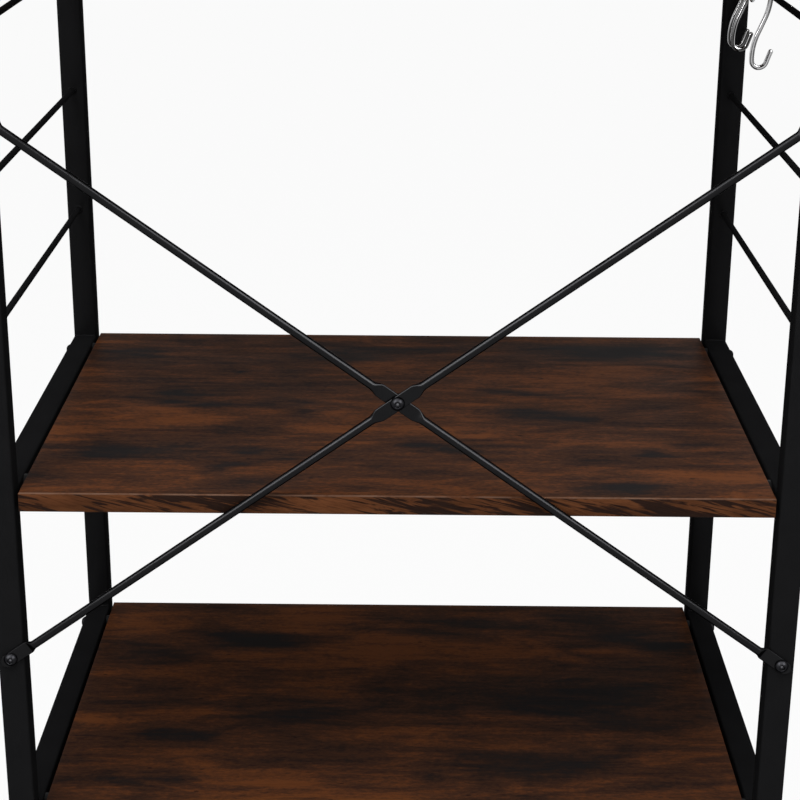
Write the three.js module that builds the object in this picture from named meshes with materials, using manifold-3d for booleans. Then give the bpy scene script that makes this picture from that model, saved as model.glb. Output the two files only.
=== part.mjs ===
// Bakers rack: a kitchen rack of black square steel tube with wood-grain shelf boards.
// Two side frames stand on levelling feet. Five boards are bolted between them, thin guard
// rods close the sides above the counter board, two crossed rods brace the back, and wire
// hooks hang on one guard rod.
// Units are millimetres. +Z is up, -Y is the front, +X is to the right seen from the front.
// The origin is on the floor, under the middle of the rack.

import * as THREE from 'three';
import Module from 'manifold-3d';
import * as BufferGeometryUtils from 'three/addons/utils/BufferGeometryUtils.js';

const manifold = await Module();
manifold.setup();

// Overall frame
const frameWidth = 600;
const frameDepth = 400;
const frameHeight = 1385;

// Square steel tube of the posts and rails
const tubeSize = 20;
const tubeWall = 1.2;
const tubeCornerRadius = 2;

// Shelf tiers: equal pitches up to the counter, then one tall bay under the top board
const lowestTierHeight = 100;
const tierPitch = 275;
const pitchedTierCount = 4;

// Shelf boards
const boardThickness = 15;
const boardFrontSetback = 11.5;
const boardRearSetback = 1;
const boardEdgeChamfer = 0.6;

// Button-head bolts with a hexagon socket
const boltDiameter = 6;
const boltHeadDiameter = 10.5;
const boltHeadHeight = 3.5;
const boltSocketAcrossFlats = 4;
const boltSocketDepth = 2;
const boltHoleClearance = 0.3;

// Threaded inserts pressed into the board ends. Their flanges keep the ends off the rails.
const insertDepth = 13;
const insertFlangeDiameter = 13;
const insertFlangeThickness = 3;
const shelfBoltReach = 9;
const shelfBoltInset = 40;

// Guard rods on both sides above the counter
const guardRodDiameter = 5;
const guardRodFitClearance = 0.3;
const guardRodEntry = 3;
const guardRodsPerSide = 3;
// How far the first rod lies above the counter, as a share of the clear height of the bay
const firstGuardRodRiseShare = 0.27045;

// Crossed brace rods on the back, pressed flat where the bolts go through
const braceRodDiameter = 6.4;
const braceFlatThickness = 2;
const braceFlatWidth = 10.5;
const bracePaddleInnerReach = 17;
const bracePaddleOuterReach = 8.5;
const bracePaddleTaper = 6;
const braceCentreFlatLength = 30;
const braceCentreTaper = 8;
// How far the lower and upper bolts lie from the counter's top, as shares of the bay above it
const braceBoltShares = [-0.2922, 0.6128];
const braceEndBoltLength = 12;
const braceNutAcrossFlats = 10;
const braceNutHeight = 5;
const braceBoltTipProud = 1;

// Rivet nuts crimped into the rear walls of the rear posts
const rivetNutDiameter = 9;
const rivetNutBulgeDiameter = 12.5;
const rivetNutBulgeLength = 3;
const rivetNutLength = 13;

// Plastic plugs in the tube ends
const plugFlangeThickness = 3;
const plugFlangeChamfer = 0.6;
const plugStemLength = 20;
const plugFitClearance = 0.3;

// Levelling feet
const footDiameter = 19;
const footHeight = 8;
const footChamfer = 1.2;
const footCollarDiameter = 11;
const footCollarHeight = 1;
const footStudDiameter = 6;
const footStudLength = 28;
const footStudClearance = 0.3;
const footStopGap = 0.3;

// Wire hooks: curled at both ends, with a leaning shank. The shank's straight length and the
// radius of its bends are shares of the guard rods' pitch, so that a hook ends above the next rod.
const hookWireDiameter = 4;
const hookCurlRadius = 6;
const hookTipLength = 11.5;
const hookTipLean = 23;
const hookShankLean = 26;
const hookShankBendShare = 0.4673;
const hookShankStraightShare = 0.11776;
const hookSeatGap = 0.3;
const hookFrontDistances = [27, 45, 138];
const hookRodNumber = 3;

// How far a cutting tool runs past the face it cuts
const cutOverrun = 2;

// Segment counts of the round shapes
const holeSegments = 10;
const boltSegments = 10;
const rodSegments = 12;
const footSegments = 14;
const hookWireSegments = 7;
const cornerSegments = 1;
const hookSteps = 38;
const hexagonSides = 6;

// Places worked out from the sizes above
const halfWidth = frameWidth / 2;
const halfDepth = frameDepth / 2;
const tubeCentreX = halfWidth - tubeSize / 2;
const tubeCentreY = halfDepth - tubeSize / 2;
const counterHeight = lowestTierHeight + (pitchedTierCount - 1) * tierPitch;
const tierHeights = Array.from({ length: pitchedTierCount }, (_, i) => lowestTierHeight + i * tierPitch);
tierHeights.push(frameHeight);
const postBottom = footHeight + footStopGap + plugFlangeThickness;
const postTop = frameHeight - plugFlangeThickness;
const boltHoleRadius = boltDiameter / 2 + boltHoleClearance;
const topBayHeight = frameHeight - counterHeight;
const topBayClearHeight = topBayHeight - tubeSize;
const firstGuardRodRise = topBayClearHeight * firstGuardRodRiseShare;
const guardRodPitch = (topBayClearHeight - firstGuardRodRise) / guardRodsPerSide;
const guardRodHeights = Array.from(
  { length: guardRodsPerSide },
  (_, i) => counterHeight + firstGuardRodRise + i * guardRodPitch,
);
const hookShankBendRadius = guardRodPitch * hookShankBendShare;
const hookShankStraightLength = guardRodPitch * hookShankStraightShare;
const braceBoltHeights = braceBoltShares.map((share) => counterHeight + share * topBayHeight);
const braceCentreHeight = (braceBoltHeights[0] + braceBoltHeights[1]) / 2;
const braceRise = braceBoltHeights[1] - braceBoltHeights[0];
const braceBoltSpan = Math.hypot(2 * tubeCentreX, braceRise);
const braceAxisOffset = braceRodDiameter / 2;
const braceRearReach = braceAxisOffset + braceFlatThickness + boltHeadHeight;
const rackShiftY = -braceRearReach / 2;

// Finishes
const powderCoat = new THREE.MeshStandardMaterial({ color: 0x1b1b1c, roughness: 0.55, metalness: 0.3 });
const woodBoard = new THREE.MeshStandardMaterial({ color: 0x4a2c1e, roughness: 0.5, metalness: 0 });
const blackBolt = new THREE.MeshStandardMaterial({ color: 0x222223, roughness: 0.4, metalness: 0.7 });
const blackPlastic = new THREE.MeshStandardMaterial({ color: 0x161616, roughness: 0.6, metalness: 0 });
const chromeWire = new THREE.MeshStandardMaterial({ color: 0xc8c8c8, roughness: 0.12, metalness: 1 });

const rack = new THREE.Group();
rack.position.y = rackShiftY;

function addPiece(name, geometry, material, x = 0, y = 0, z = 0) {
  const mesh = new THREE.Mesh(geometry, material);
  mesh.name = name;
  mesh.position.set(x, y, z);
  rack.add(mesh);
  return mesh;
}

// Solid modelling helpers

function toSolid(geometry) {
  const bare = geometry.clone();
  bare.deleteAttribute('normal');
  bare.deleteAttribute('uv');
  const merged = BufferGeometryUtils.mergeVertices(bare);
  const mesh = new manifold.Mesh({
    numProp: 3,
    vertProperties: new Float32Array(merged.attributes.position.array),
    triVerts: new Uint32Array(merged.index.array),
  });
  return new manifold.Manifold(mesh);
}

function toGeometry(solid) {
  const mesh = solid.getMesh();
  const geometry = new THREE.BufferGeometry();
  geometry.setAttribute('position', new THREE.BufferAttribute(new Float32Array(mesh.vertProperties), 3));
  geometry.setIndex(new THREE.BufferAttribute(new Uint32Array(mesh.triVerts), 1));
  return geometry;
}

function hexagonCornerRadius(acrossFlats) {
  return acrossFlats / 2 / Math.cos(Math.PI / hexagonSides);
}

function cut(geometry, tools) {
  return toGeometry(tools.reduce((body, tool) => body.subtract(toSolid(tool)), toSolid(geometry)));
}

function join(geometries) {
  return toGeometry(geometries.map(toSolid).reduce((body, part) => body.add(part)));
}

// Turns a shape made along +Z so that its +Z points along the axis given
function alongAxis(geometry, axis) {
  if (axis === '+x') return geometry.rotateY(Math.PI / 2);
  if (axis === '-x') return geometry.rotateY(-Math.PI / 2);
  if (axis === '+y') return geometry.rotateX(-Math.PI / 2);
  if (axis === '-y') return geometry.rotateX(Math.PI / 2);
  return geometry;
}

// A round bar that runs from 0 to its length along the axis
function roundBar(radius, length, axis, segments = holeSegments) {
  const bar = new THREE.CylinderGeometry(radius, radius, length, segments);
  bar.rotateX(Math.PI / 2).translate(0, 0, length / 2);
  return alongAxis(bar, axis);
}

// A turned solid: profile points are [radius, height], from the axis back to the axis or closed
function turned(profile, segments, axis) {
  const points = profile.map(([radius, height]) => new THREE.Vector2(radius, height));
  const body = new THREE.LatheGeometry(points, segments);
  return alongAxis(body.rotateX(Math.PI / 2), axis);
}

function roundedSquare(path, size, radius) {
  const half = size / 2;
  const flat = half - radius;
  path.moveTo(half, -flat);
  path.lineTo(half, flat);
  path.absarc(flat, flat, radius, 0, Math.PI / 2, false);
  path.lineTo(-flat, half);
  path.absarc(-flat, flat, radius, Math.PI / 2, Math.PI, false);
  path.lineTo(-half, -flat);
  path.absarc(-flat, -flat, radius, Math.PI, 1.5 * Math.PI, false);
  path.lineTo(flat, -half);
  path.absarc(flat, -flat, radius, 1.5 * Math.PI, 2 * Math.PI, false);
  return path;
}

// Square tube from 0 to its length along +Z, open at both ends
function squareTube(length) {
  const section = roundedSquare(new THREE.Shape(), tubeSize, tubeCornerRadius);
  const leastRadiusShare = 0.25;
  const innerRadius = Math.max(tubeCornerRadius - tubeWall, tubeWall * leastRadiusShare);
  section.holes.push(roundedSquare(new THREE.Path(), tubeSize - 2 * tubeWall, innerRadius));
  return new THREE.ExtrudeGeometry(section, {
    depth: length,
    bevelEnabled: false,
    curveSegments: cornerSegments,
  });
}

// A button-head bolt: the head's underside is at 0, the shank points against the axis
function boltSolid(shankLength, axis) {
  const shank = boltDiameter / 2;
  const head = boltHeadDiameter / 2;
  const shoulderHeightShare = 0.6;
  const shoulderRadiusShare = 0.86;
  const crownRadiusShare = 0.52;
  const body = turned(
    [
      [0, -shankLength],
      [shank, -shankLength],
      [shank, 0],
      [head, 0],
      [head * shoulderRadiusShare, boltHeadHeight * shoulderHeightShare],
      [head * crownRadiusShare, boltHeadHeight],
      [0, boltHeadHeight],
    ],
    boltSegments,
  );
  const socketRadius = hexagonCornerRadius(boltSocketAcrossFlats);
  const socket = roundBar(socketRadius, boltSocketDepth + cutOverrun, '+z', hexagonSides);
  socket.translate(0, 0, boltHeadHeight - boltSocketDepth);
  return alongAxis(cut(body, [socket]), axis);
}

// Side frames: posts, rails and guard rods

const sides = [
  { name: 'left', sign: -1, outward: '-x' },
  { name: 'right', sign: 1, outward: '+x' },
];
const ends = [
  { name: 'front', sign: -1, inward: '+y' },
  { name: 'rear', sign: 1, inward: '-y' },
];

// A plug with its flange from 0 to its thickness along +Z and its stem above it
function plugSolid() {
  const cap = roundedSquare(
    new THREE.Shape(),
    tubeSize - 2 * plugFlangeChamfer,
    Math.max(tubeCornerRadius - plugFlangeChamfer, plugFlangeChamfer),
  );
  const flange = new THREE.ExtrudeGeometry(cap, {
    depth: plugFlangeThickness - 2 * plugFlangeChamfer,
    bevelThickness: plugFlangeChamfer,
    bevelSize: plugFlangeChamfer,
    bevelSegments: 1,
    curveSegments: cornerSegments,
  });
  flange.translate(0, 0, plugFlangeChamfer);
  const stemSize = tubeSize - 2 * tubeWall - 2 * plugFitClearance;
  const stem = new THREE.BoxGeometry(stemSize, stemSize, plugStemLength);
  stem.translate(0, 0, plugFlangeThickness + plugStemLength / 2 - plugFlangeChamfer);
  return join([flange, stem]);
}

// A rivet nut crimped in a wall whose outer face is at 0, with its bulge behind the wall
function rivetNutSolid() {
  const barrel = rivetNutDiameter / 2;
  const bulge = rivetNutBulgeDiameter / 2;
  const crease = (bulge - barrel) / 2;
  const bulgeEnd = -tubeWall - rivetNutBulgeLength;
  const profile = [
    [0, -rivetNutLength],
    [barrel, -rivetNutLength],
    [barrel, bulgeEnd - crease],
    [bulge, bulgeEnd],
    [bulge, -tubeWall - crease],
    [barrel + crease, -tubeWall],
    [barrel, -tubeWall],
    [barrel, 0],
    [0, 0],
  ];
  return turned(profile, boltSegments, '+y');
}

// A post with its pressed-in plugs, standing with its middle on the local Z axis and the
// lower end of the tube at 0. A rear post also holds the rivet nuts of the back brace.
function postSolid(end) {
  const length = postTop - postBottom;
  const lowerPlug = plugSolid().translate(0, 0, -plugFlangeThickness);
  const upperPlug = plugSolid().rotateX(Math.PI).translate(0, 0, length + plugFlangeThickness);
  const bodies = [squareTube(length), lowerPlug, upperPlug];
  const studBore = roundBar(
    footStudDiameter / 2 + footStudClearance,
    plugFlangeThickness + plugStemLength + 2 * cutOverrun,
    '+z',
  );
  const tools = [studBore.translate(0, 0, -plugFlangeThickness - cutOverrun)];
  for (const height of guardRodHeights) {
    const hole = roundBar(guardRodDiameter / 2 + guardRodFitClearance, tubeSize, end.inward);
    tools.push(hole.translate(0, 0, height - postBottom));
  }
  if (end.name === 'rear') {
    for (const height of braceBoltHeights) {
      const place = height - postBottom;
      bodies.push(rivetNutSolid().translate(0, tubeSize / 2, place));
      const bore = roundBar(boltHoleRadius, rivetNutLength + 2 * cutOverrun, '-y');
      tools.push(bore.translate(0, tubeSize / 2 + cutOverrun, place));
    }
  }
  return cut(join(bodies), tools);
}

function addPosts() {
  for (const end of ends) {
    for (const side of sides) {
      const x = side.sign * tubeCentreX;
      const y = end.sign * tubeCentreY;
      addPiece(`post_${end.name}_${side.name}`, postSolid(end), powderCoat, x, y, postBottom);
    }
  }
}

// A rail runs along Y between the posts, with holes for the two shelf bolts.
// Its middle is at the local origin.
function railSolid() {
  const length = frameDepth - 2 * tubeSize;
  const tube = squareTube(length).translate(0, 0, -length / 2);
  alongAxis(tube, '+y');
  const holeHeight = tubeSize / 2 - boardThickness / 2;
  const tools = ends.map((end) => {
    const reach = tubeSize + 2 * cutOverrun;
    const hole = roundBar(boltHoleRadius, reach, '+x');
    return hole.translate(-reach / 2, end.sign * (halfDepth - shelfBoltInset), holeHeight);
  });
  return cut(tube, tools);
}

function addRails() {
  for (const side of sides) {
    tierHeights.forEach((height, i) => {
      const z = height - tubeSize / 2;
      addPiece(`rail_${side.name}_${i + 1}`, railSolid(), powderCoat, side.sign * tubeCentreX, 0, z);
    });
  }
}

function addGuardRods() {
  const length = frameDepth - 2 * tubeSize + 2 * guardRodEntry;
  for (const side of sides) {
    guardRodHeights.forEach((height, i) => {
      const rod = roundBar(guardRodDiameter / 2, length, '+y', rodSegments).translate(0, -length / 2, 0);
      addPiece(`guard_rod_${side.name}_${i + 1}`, rod, powderCoat, side.sign * tubeCentreX, 0, height);
    });
  }
}

// Shelves: boards with their inserts, and bolts

const boardLength = frameWidth - 2 * tubeSize - 2 * insertFlangeThickness;
const boardDepth = frameDepth - boardFrontSetback - boardRearSetback;
const boardCentreY = (boardFrontSetback - boardRearSetback) / 2;

// A board with its four pressed-in inserts, the middle of its thickness on the local XY plane
function boardSolid() {
  const halfLength = boardLength / 2 - boardEdgeChamfer;
  const halfBoardDepth = boardDepth / 2 - boardEdgeChamfer;
  const outline = new THREE.Shape();
  outline.moveTo(-halfLength, -halfBoardDepth);
  outline.lineTo(halfLength, -halfBoardDepth);
  outline.lineTo(halfLength, halfBoardDepth);
  outline.lineTo(-halfLength, halfBoardDepth);
  outline.closePath();
  const core = boardThickness - 2 * boardEdgeChamfer;
  const board = new THREE.ExtrudeGeometry(outline, {
    depth: core,
    bevelThickness: boardEdgeChamfer,
    bevelSize: boardEdgeChamfer,
    bevelSegments: 1,
  });
  board.translate(0, boardCentreY, -core / 2);
  const bodies = [board];
  const tools = [];
  for (const side of sides) {
    for (const end of ends) {
      const endX = (side.sign * boardLength) / 2;
      const y = end.sign * (halfDepth - shelfBoltInset);
      const seat = -side.sign * boardEdgeChamfer;
      const flangeLength = insertFlangeThickness + boardEdgeChamfer;
      const flange = roundBar(insertFlangeDiameter / 2, flangeLength, side.outward);
      bodies.push(flange.translate(endX + seat, y, 0));
      const bore = roundBar(boltHoleRadius, insertDepth + insertFlangeThickness + cutOverrun, side.outward);
      tools.push(bore.translate(endX - side.sign * insertDepth, y, 0));
    }
  }
  return cut(join(bodies), tools);
}

function addShelves() {
  const shelfBoltLength = tubeSize + insertFlangeThickness + shelfBoltReach;
  tierHeights.forEach((height, i) => {
    const middle = height - boardThickness / 2;
    addPiece(`shelf_board_${i + 1}`, boardSolid(), woodBoard, 0, 0, middle);
    for (const side of sides) {
      for (const end of ends) {
        const name = `shelf_bolt_${i + 1}_${end.name}_${side.name}`;
        const bolt = boltSolid(shelfBoltLength, side.outward);
        const y = end.sign * (halfDepth - shelfBoltInset);
        addPiece(name, bolt, blackBolt, side.sign * halfWidth, y, middle);
      }
    }
  });
}

// Back brace

// Rings of points joined into one closed skin, with a flat cap on the first and last ring
function loft(rings) {
  const count = rings[0].length;
  const positions = rings.flat().flatMap((point) => [point.x, point.y, point.z]);
  const index = [];
  for (let ring = 0; ring < rings.length - 1; ring += 1) {
    for (let i = 0; i < count; i += 1) {
      const a = ring * count + i;
      const b = ring * count + ((i + 1) % count);
      index.push(a, b, b + count, a, b + count, a + count);
    }
  }
  const last = (rings.length - 1) * count;
  for (let i = 1; i < count - 1; i += 1) {
    index.push(0, i + 1, i);
    index.push(last, last + i, last + i + 1);
  }
  const geometry = new THREE.BufferGeometry();
  geometry.setAttribute('position', new THREE.BufferAttribute(new Float32Array(positions), 3));
  geometry.setIndex(index);
  return geometry;
}

// One ring of a brace rod. flatness is 0 where the rod is round and 1 where it is pressed flat,
// widthShare narrows the rounded ends of the paddles, flatOffset is the flat's middle along Y.
function braceRing(along, flatness, flatOffset, widthShare) {
  const radius = braceRodDiameter / 2;
  const mix = THREE.MathUtils.lerp;
  const halfThick = mix(radius, braceFlatThickness / 2, flatness);
  const halfWide = Math.max(mix(radius, braceFlatWidth / 2, flatness) * widthShare, halfThick);
  const middle = mix(braceAxisOffset, flatOffset, flatness);
  const step = (2 * Math.PI) / rodSegments;
  const squareness = mix(1, 1 / Math.cos(step / 2), flatness);
  return Array.from({ length: rodSegments }, (_, i) => {
    const angle = (i + 0.5) * step;
    const across = Math.sign(Math.cos(angle)) * (halfWide - halfThick) + halfThick * Math.cos(angle);
    return { along, across, out: middle + halfThick * Math.sin(angle) * squareness };
  });
}

// Stations from the middle of the rod to the tip of one paddle
function braceStations(centreOffset) {
  const taperShares = [0, 0.25, 0.5, 0.75, 1];
  const endShares = [0, 0.5, 0.85, 1];
  const boltPlace = braceBoltSpan / 2;
  const paddleStart = boltPlace - bracePaddleInnerReach;
  const tip = boltPlace + bracePaddleOuterReach;
  const endRadius = braceFlatWidth / 2;
  const paddleOffset = braceFlatThickness / 2;
  const smooth = (share) => THREE.MathUtils.smoothstep(share, 0, 1);
  const centre = taperShares.map((share) => {
    const along = braceCentreFlatLength / 2 + share * braceCentreTaper;
    return braceRing(along, 1 - smooth(share), centreOffset, 1);
  });
  const paddle = taperShares.map((share) => {
    const along = paddleStart - (1 - share) * bracePaddleTaper;
    return braceRing(along, smooth(share), paddleOffset, 1);
  });
  const end = endShares.map((share) => {
    const along = tip - endRadius * (1 - share);
    return braceRing(along, 1, paddleOffset, Math.sqrt(Math.max(1 - share * share, 0)));
  });
  return [...centre, ...paddle, ...end];
}

// A brace rod, lying on the plane of local Y 0. lean is 1 for the rod that rises towards +X.
// layer is 0 for the rod that lies against the posts' plane and 1 for the one crossing over it.
function braceRodSolid(lean, layer) {
  const centreOffset = braceAxisOffset + (layer - 0.5) * braceFlatThickness;
  const forward = braceStations(centreOffset);
  const backward = forward.map((ring) => ring.map((point) => ({ ...point, along: -point.along })));
  const dirX = (lean * 2 * tubeCentreX) / braceBoltSpan;
  const dirZ = braceRise / braceBoltSpan;
  const place = ({ along, across, out }) =>
    new THREE.Vector3(along * dirX + across * dirZ, out, along * dirZ - across * dirX);
  const rings = [...backward.reverse(), ...forward].map((ring) => ring.map(place));
  const holes = [-1, 0, 1].map((share) => {
    const reach = braceRodDiameter + 2 * cutOverrun;
    const hole = roundBar(boltHoleRadius, reach, '+y');
    const along = (share * braceBoltSpan) / 2;
    return hole.translate(along * dirX, -cutOverrun, along * dirZ);
  });
  return cut(loft(rings), holes);
}

function braceNutSolid() {
  const outline = new THREE.Shape();
  const corner = hexagonCornerRadius(braceNutAcrossFlats);
  for (let i = 0; i < hexagonSides; i += 1) {
    const angle = (i * 2 * Math.PI) / hexagonSides;
    outline[i === 0 ? 'moveTo' : 'lineTo'](corner * Math.cos(angle), corner * Math.sin(angle));
  }
  outline.closePath();
  outline.holes.push(new THREE.Path().absarc(0, 0, boltHoleRadius, 0, 2 * Math.PI, true));
  const nut = new THREE.ExtrudeGeometry(outline, {
    depth: braceNutHeight,
    bevelEnabled: false,
    curveSegments: holeSegments / 2,
  });
  return alongAxis(nut, '-y');
}

function addBrace() {
  addPiece('brace_rod_inner', braceRodSolid(1, 0), powderCoat, 0, halfDepth, braceCentreHeight);
  addPiece('brace_rod_outer', braceRodSolid(-1, 1), powderCoat, 0, halfDepth, braceCentreHeight);
  const innerFace = halfDepth + braceAxisOffset - braceFlatThickness;
  const outerFace = halfDepth + braceAxisOffset + braceFlatThickness;
  const centreBoltLength = 2 * braceFlatThickness + braceNutHeight + braceBoltTipProud;
  const centreBolt = boltSolid(centreBoltLength, '+y');
  addPiece('brace_centre_bolt', centreBolt, blackBolt, 0, outerFace, braceCentreHeight);
  addPiece('brace_centre_nut', braceNutSolid(), blackBolt, 0, innerFace, braceCentreHeight);
  for (const side of sides) {
    braceBoltHeights.forEach((height, i) => {
      const name = `brace_end_bolt_${i === 0 ? 'lower' : 'upper'}_${side.name}`;
      const bolt = boltSolid(braceEndBoltLength, '+y');
      addPiece(name, bolt, blackBolt, side.sign * tubeCentreX, halfDepth + braceFlatThickness, height);
    });
  }
}

// Levelling feet

// A levelling foot: a moulded pad on a threaded stud, standing on 0
function footSolid() {
  const pad = footDiameter / 2;
  const collar = footCollarDiameter / 2;
  const stud = footStudDiameter / 2;
  const waist = pad - footChamfer;
  const profile = [
    [0, 0],
    [waist, 0],
    [pad, footChamfer],
    [pad, footHeight - footCollarHeight - footChamfer],
    [waist, footHeight - footCollarHeight],
    [collar, footHeight - footCollarHeight],
    [collar, footHeight],
    [stud, footHeight],
    [stud, footHeight + footStudLength - footChamfer],
    [stud - footChamfer, footHeight + footStudLength],
    [0, footHeight + footStudLength],
  ];
  return turned(profile, footSegments);
}

function addFeet() {
  for (const end of ends) {
    for (const side of sides) {
      const x = side.sign * tubeCentreX;
      const y = end.sign * tubeCentreY;
      addPiece(`levelling_foot_${end.name}_${side.name}`, footSolid(), blackPlastic, x, y, 0);
    }
  }
}

// Hooks

// A wire bent in the XZ plane. Each run has a length and the angle that it turns through.
class BentWire extends THREE.Curve {
  constructor(heading, runs) {
    super();
    this.heading = heading;
    this.runs = runs;
    this.total = runs.reduce((sum, run) => sum + run.length, 0);
    this.offset = new THREE.Vector3();
  }

  getPoint(t, target = new THREE.Vector3()) {
    let left = t * this.total;
    let heading = this.heading;
    target.set(0, 0, 0);
    for (const run of this.runs) {
      const length = Math.min(left, run.length);
      const turn = (run.turn * length) / run.length;
      const chord = turn === 0 ? length : (2 * length * Math.sin(turn / 2)) / turn;
      target.x += chord * Math.cos(heading + turn / 2);
      target.z += chord * Math.sin(heading + turn / 2);
      heading += turn;
      left -= length;
      if (left <= 0) break;
    }
    return target.add(this.offset);
  }
}

// The hook's wire, with the guard rod's axis at the origin. Both curls are alike, turned half
// round, and the hook hangs with its middle straight under the rod.
function hookWire() {
  const shankLean = THREE.MathUtils.degToRad(hookShankLean);
  const curlTurn = Math.PI - THREE.MathUtils.degToRad(hookTipLean);
  const curl = { length: hookCurlRadius * curlTurn, turn: curlTurn };
  const bend = { length: hookShankBendRadius * shankLean, turn: shankLean };
  const tip = { length: hookTipLength, turn: 0 };
  const shank = { length: hookShankStraightLength, turn: 0 };
  const back = (run) => ({ length: run.length, turn: -run.turn });
  const halfStraight = hookShankStraightLength / 2;
  const curlSide =
    halfStraight * Math.sin(shankLean) + hookShankBendRadius * (1 - Math.cos(shankLean)) - hookCurlRadius;
  const curlRise = halfStraight * Math.cos(shankLean) + hookShankBendRadius * Math.sin(shankLean);
  const hangTilt = Math.atan2(curlSide, curlRise);
  const tipHeading = -Math.PI / 2 + THREE.MathUtils.degToRad(hookTipLean) - hangTilt;
  const wire = new BentWire(tipHeading, [tip, curl, bend, shank, back(bend), back(curl), tip]);
  const seat = hookCurlRadius - hookWireDiameter / 2 - guardRodDiameter / 2 - hookSeatGap;
  const middle = wire.getPoint(0.5);
  wire.offset.set(-middle.x, 0, -middle.z - Math.hypot(curlSide, curlRise) - seat);
  return wire;
}

function hookSolid() {
  const section = new THREE.Shape();
  section.absarc(0, 0, hookWireDiameter / 2, 0, 2 * Math.PI, false);
  const points = section.getSpacedPoints(hookWireSegments).slice(0, hookWireSegments);
  return new THREE.ExtrudeGeometry(new THREE.Shape(points), {
    steps: hookSteps,
    extrudePath: hookWire(),
  });
}

function addHooks() {
  const height = guardRodHeights[hookRodNumber - 1];
  hookFrontDistances.forEach((distance, i) => {
    addPiece(`hook_${i + 1}`, hookSolid(), chromeWire, -tubeCentreX, distance - halfDepth, height);
  });
}

addPosts();
addRails();
addGuardRods();
addShelves();
addBrace();
addFeet();
addHooks();

export default rack;
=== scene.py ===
import functools
import math
import random
from itertools import product

import bpy
from bpy.props import FloatProperty, FloatVectorProperty, IntProperty, PointerProperty
from mathutils import Matrix, Vector, noise


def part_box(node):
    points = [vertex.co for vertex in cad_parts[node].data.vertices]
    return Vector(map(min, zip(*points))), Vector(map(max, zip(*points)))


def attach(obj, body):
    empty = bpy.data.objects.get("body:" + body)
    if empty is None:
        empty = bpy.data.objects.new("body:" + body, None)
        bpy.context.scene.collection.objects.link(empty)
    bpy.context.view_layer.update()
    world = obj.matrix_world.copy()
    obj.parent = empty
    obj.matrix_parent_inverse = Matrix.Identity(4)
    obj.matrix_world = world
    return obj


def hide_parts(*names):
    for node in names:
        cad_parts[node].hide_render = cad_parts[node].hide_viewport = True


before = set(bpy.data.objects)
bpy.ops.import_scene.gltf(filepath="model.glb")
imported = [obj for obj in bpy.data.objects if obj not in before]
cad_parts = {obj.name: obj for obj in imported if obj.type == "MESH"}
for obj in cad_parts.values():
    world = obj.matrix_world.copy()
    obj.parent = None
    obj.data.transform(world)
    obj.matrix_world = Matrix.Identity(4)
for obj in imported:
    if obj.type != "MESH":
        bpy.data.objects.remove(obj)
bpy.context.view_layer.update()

bl_info = {
    "name": "Bakers rack",
    "version": (1, 0, 0),
    "blender": (4, 5, 0),
    "location": "3D Viewport > Sidebar > Bakers rack",
    "description": "Dresses a bakers rack of square tube, wood-grain boards and crossed brace rods",
    "category": "Add Mesh",
}

MM = 0.001
SIDES = {"left": -1, "right": 1}
ENDS = ("front", "rear")
TIERS = range(1, 6)
GUARD_RODS = range(1, 4)
HOOKS = range(1, 4)
CORNERS = list(product(ENDS, SIDES))

# The turns of a circle's quarter and of a hexagon's side, and the turn past which an edge is sharp.
QUARTER = math.radians(90)
WEDGE = math.radians(60)
CREASE = math.radians(32)


def screen_colour(red, green, blue):
    """A colour picked on a screen, 0 to 255, as the linear values that a shader takes."""
    shares = (red / 255, green / 255, blue / 255)
    return tuple(((part + 0.055) / 1.055) ** 2.4 for part in shares)


def metres(rows):
    """Rows of millimetres as rows of metres."""
    return [tuple(value * MM for value in row) for row in rows]


def node_box(node):
    """The lowest corner, the highest corner and the middle of a CAD node's box."""
    low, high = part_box(node)
    return low, high, (low + high) / 2


def box_middle(node):
    """The middle of a CAD node's box."""
    return node_box(node)[2]


def length(name, description, millimetres):
    """A length that the user may change."""
    limits = {"min": 0, "precision": 4, "unit": "LENGTH"}
    return FloatProperty(name=name, description=description, default=millimetres * MM, **limits)


def angle(name, description, degrees):
    """An angle that the user may change."""
    default = math.radians(degrees)
    return FloatProperty(name=name, description=description, default=default, subtype="ANGLE")


def colour(name, description, red, green, blue):
    """A colour that the user may change."""
    limits = {"min": 0, "max": 1, "subtype": "COLOR"}
    default = screen_colour(red, green, blue)
    return FloatVectorProperty(name=name, description=description, default=default, **limits)


def share(name, description, default):
    """A number from 0 to 1 that the user may change."""
    limits = {"min": 0, "max": 1, "subtype": "FACTOR"}
    return FloatProperty(name=name, description=description, default=default, **limits)


def strength(name, description, default):
    """A brightness that the user may change."""
    return FloatProperty(name=name, description=description, default=default, min=0)


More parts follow.
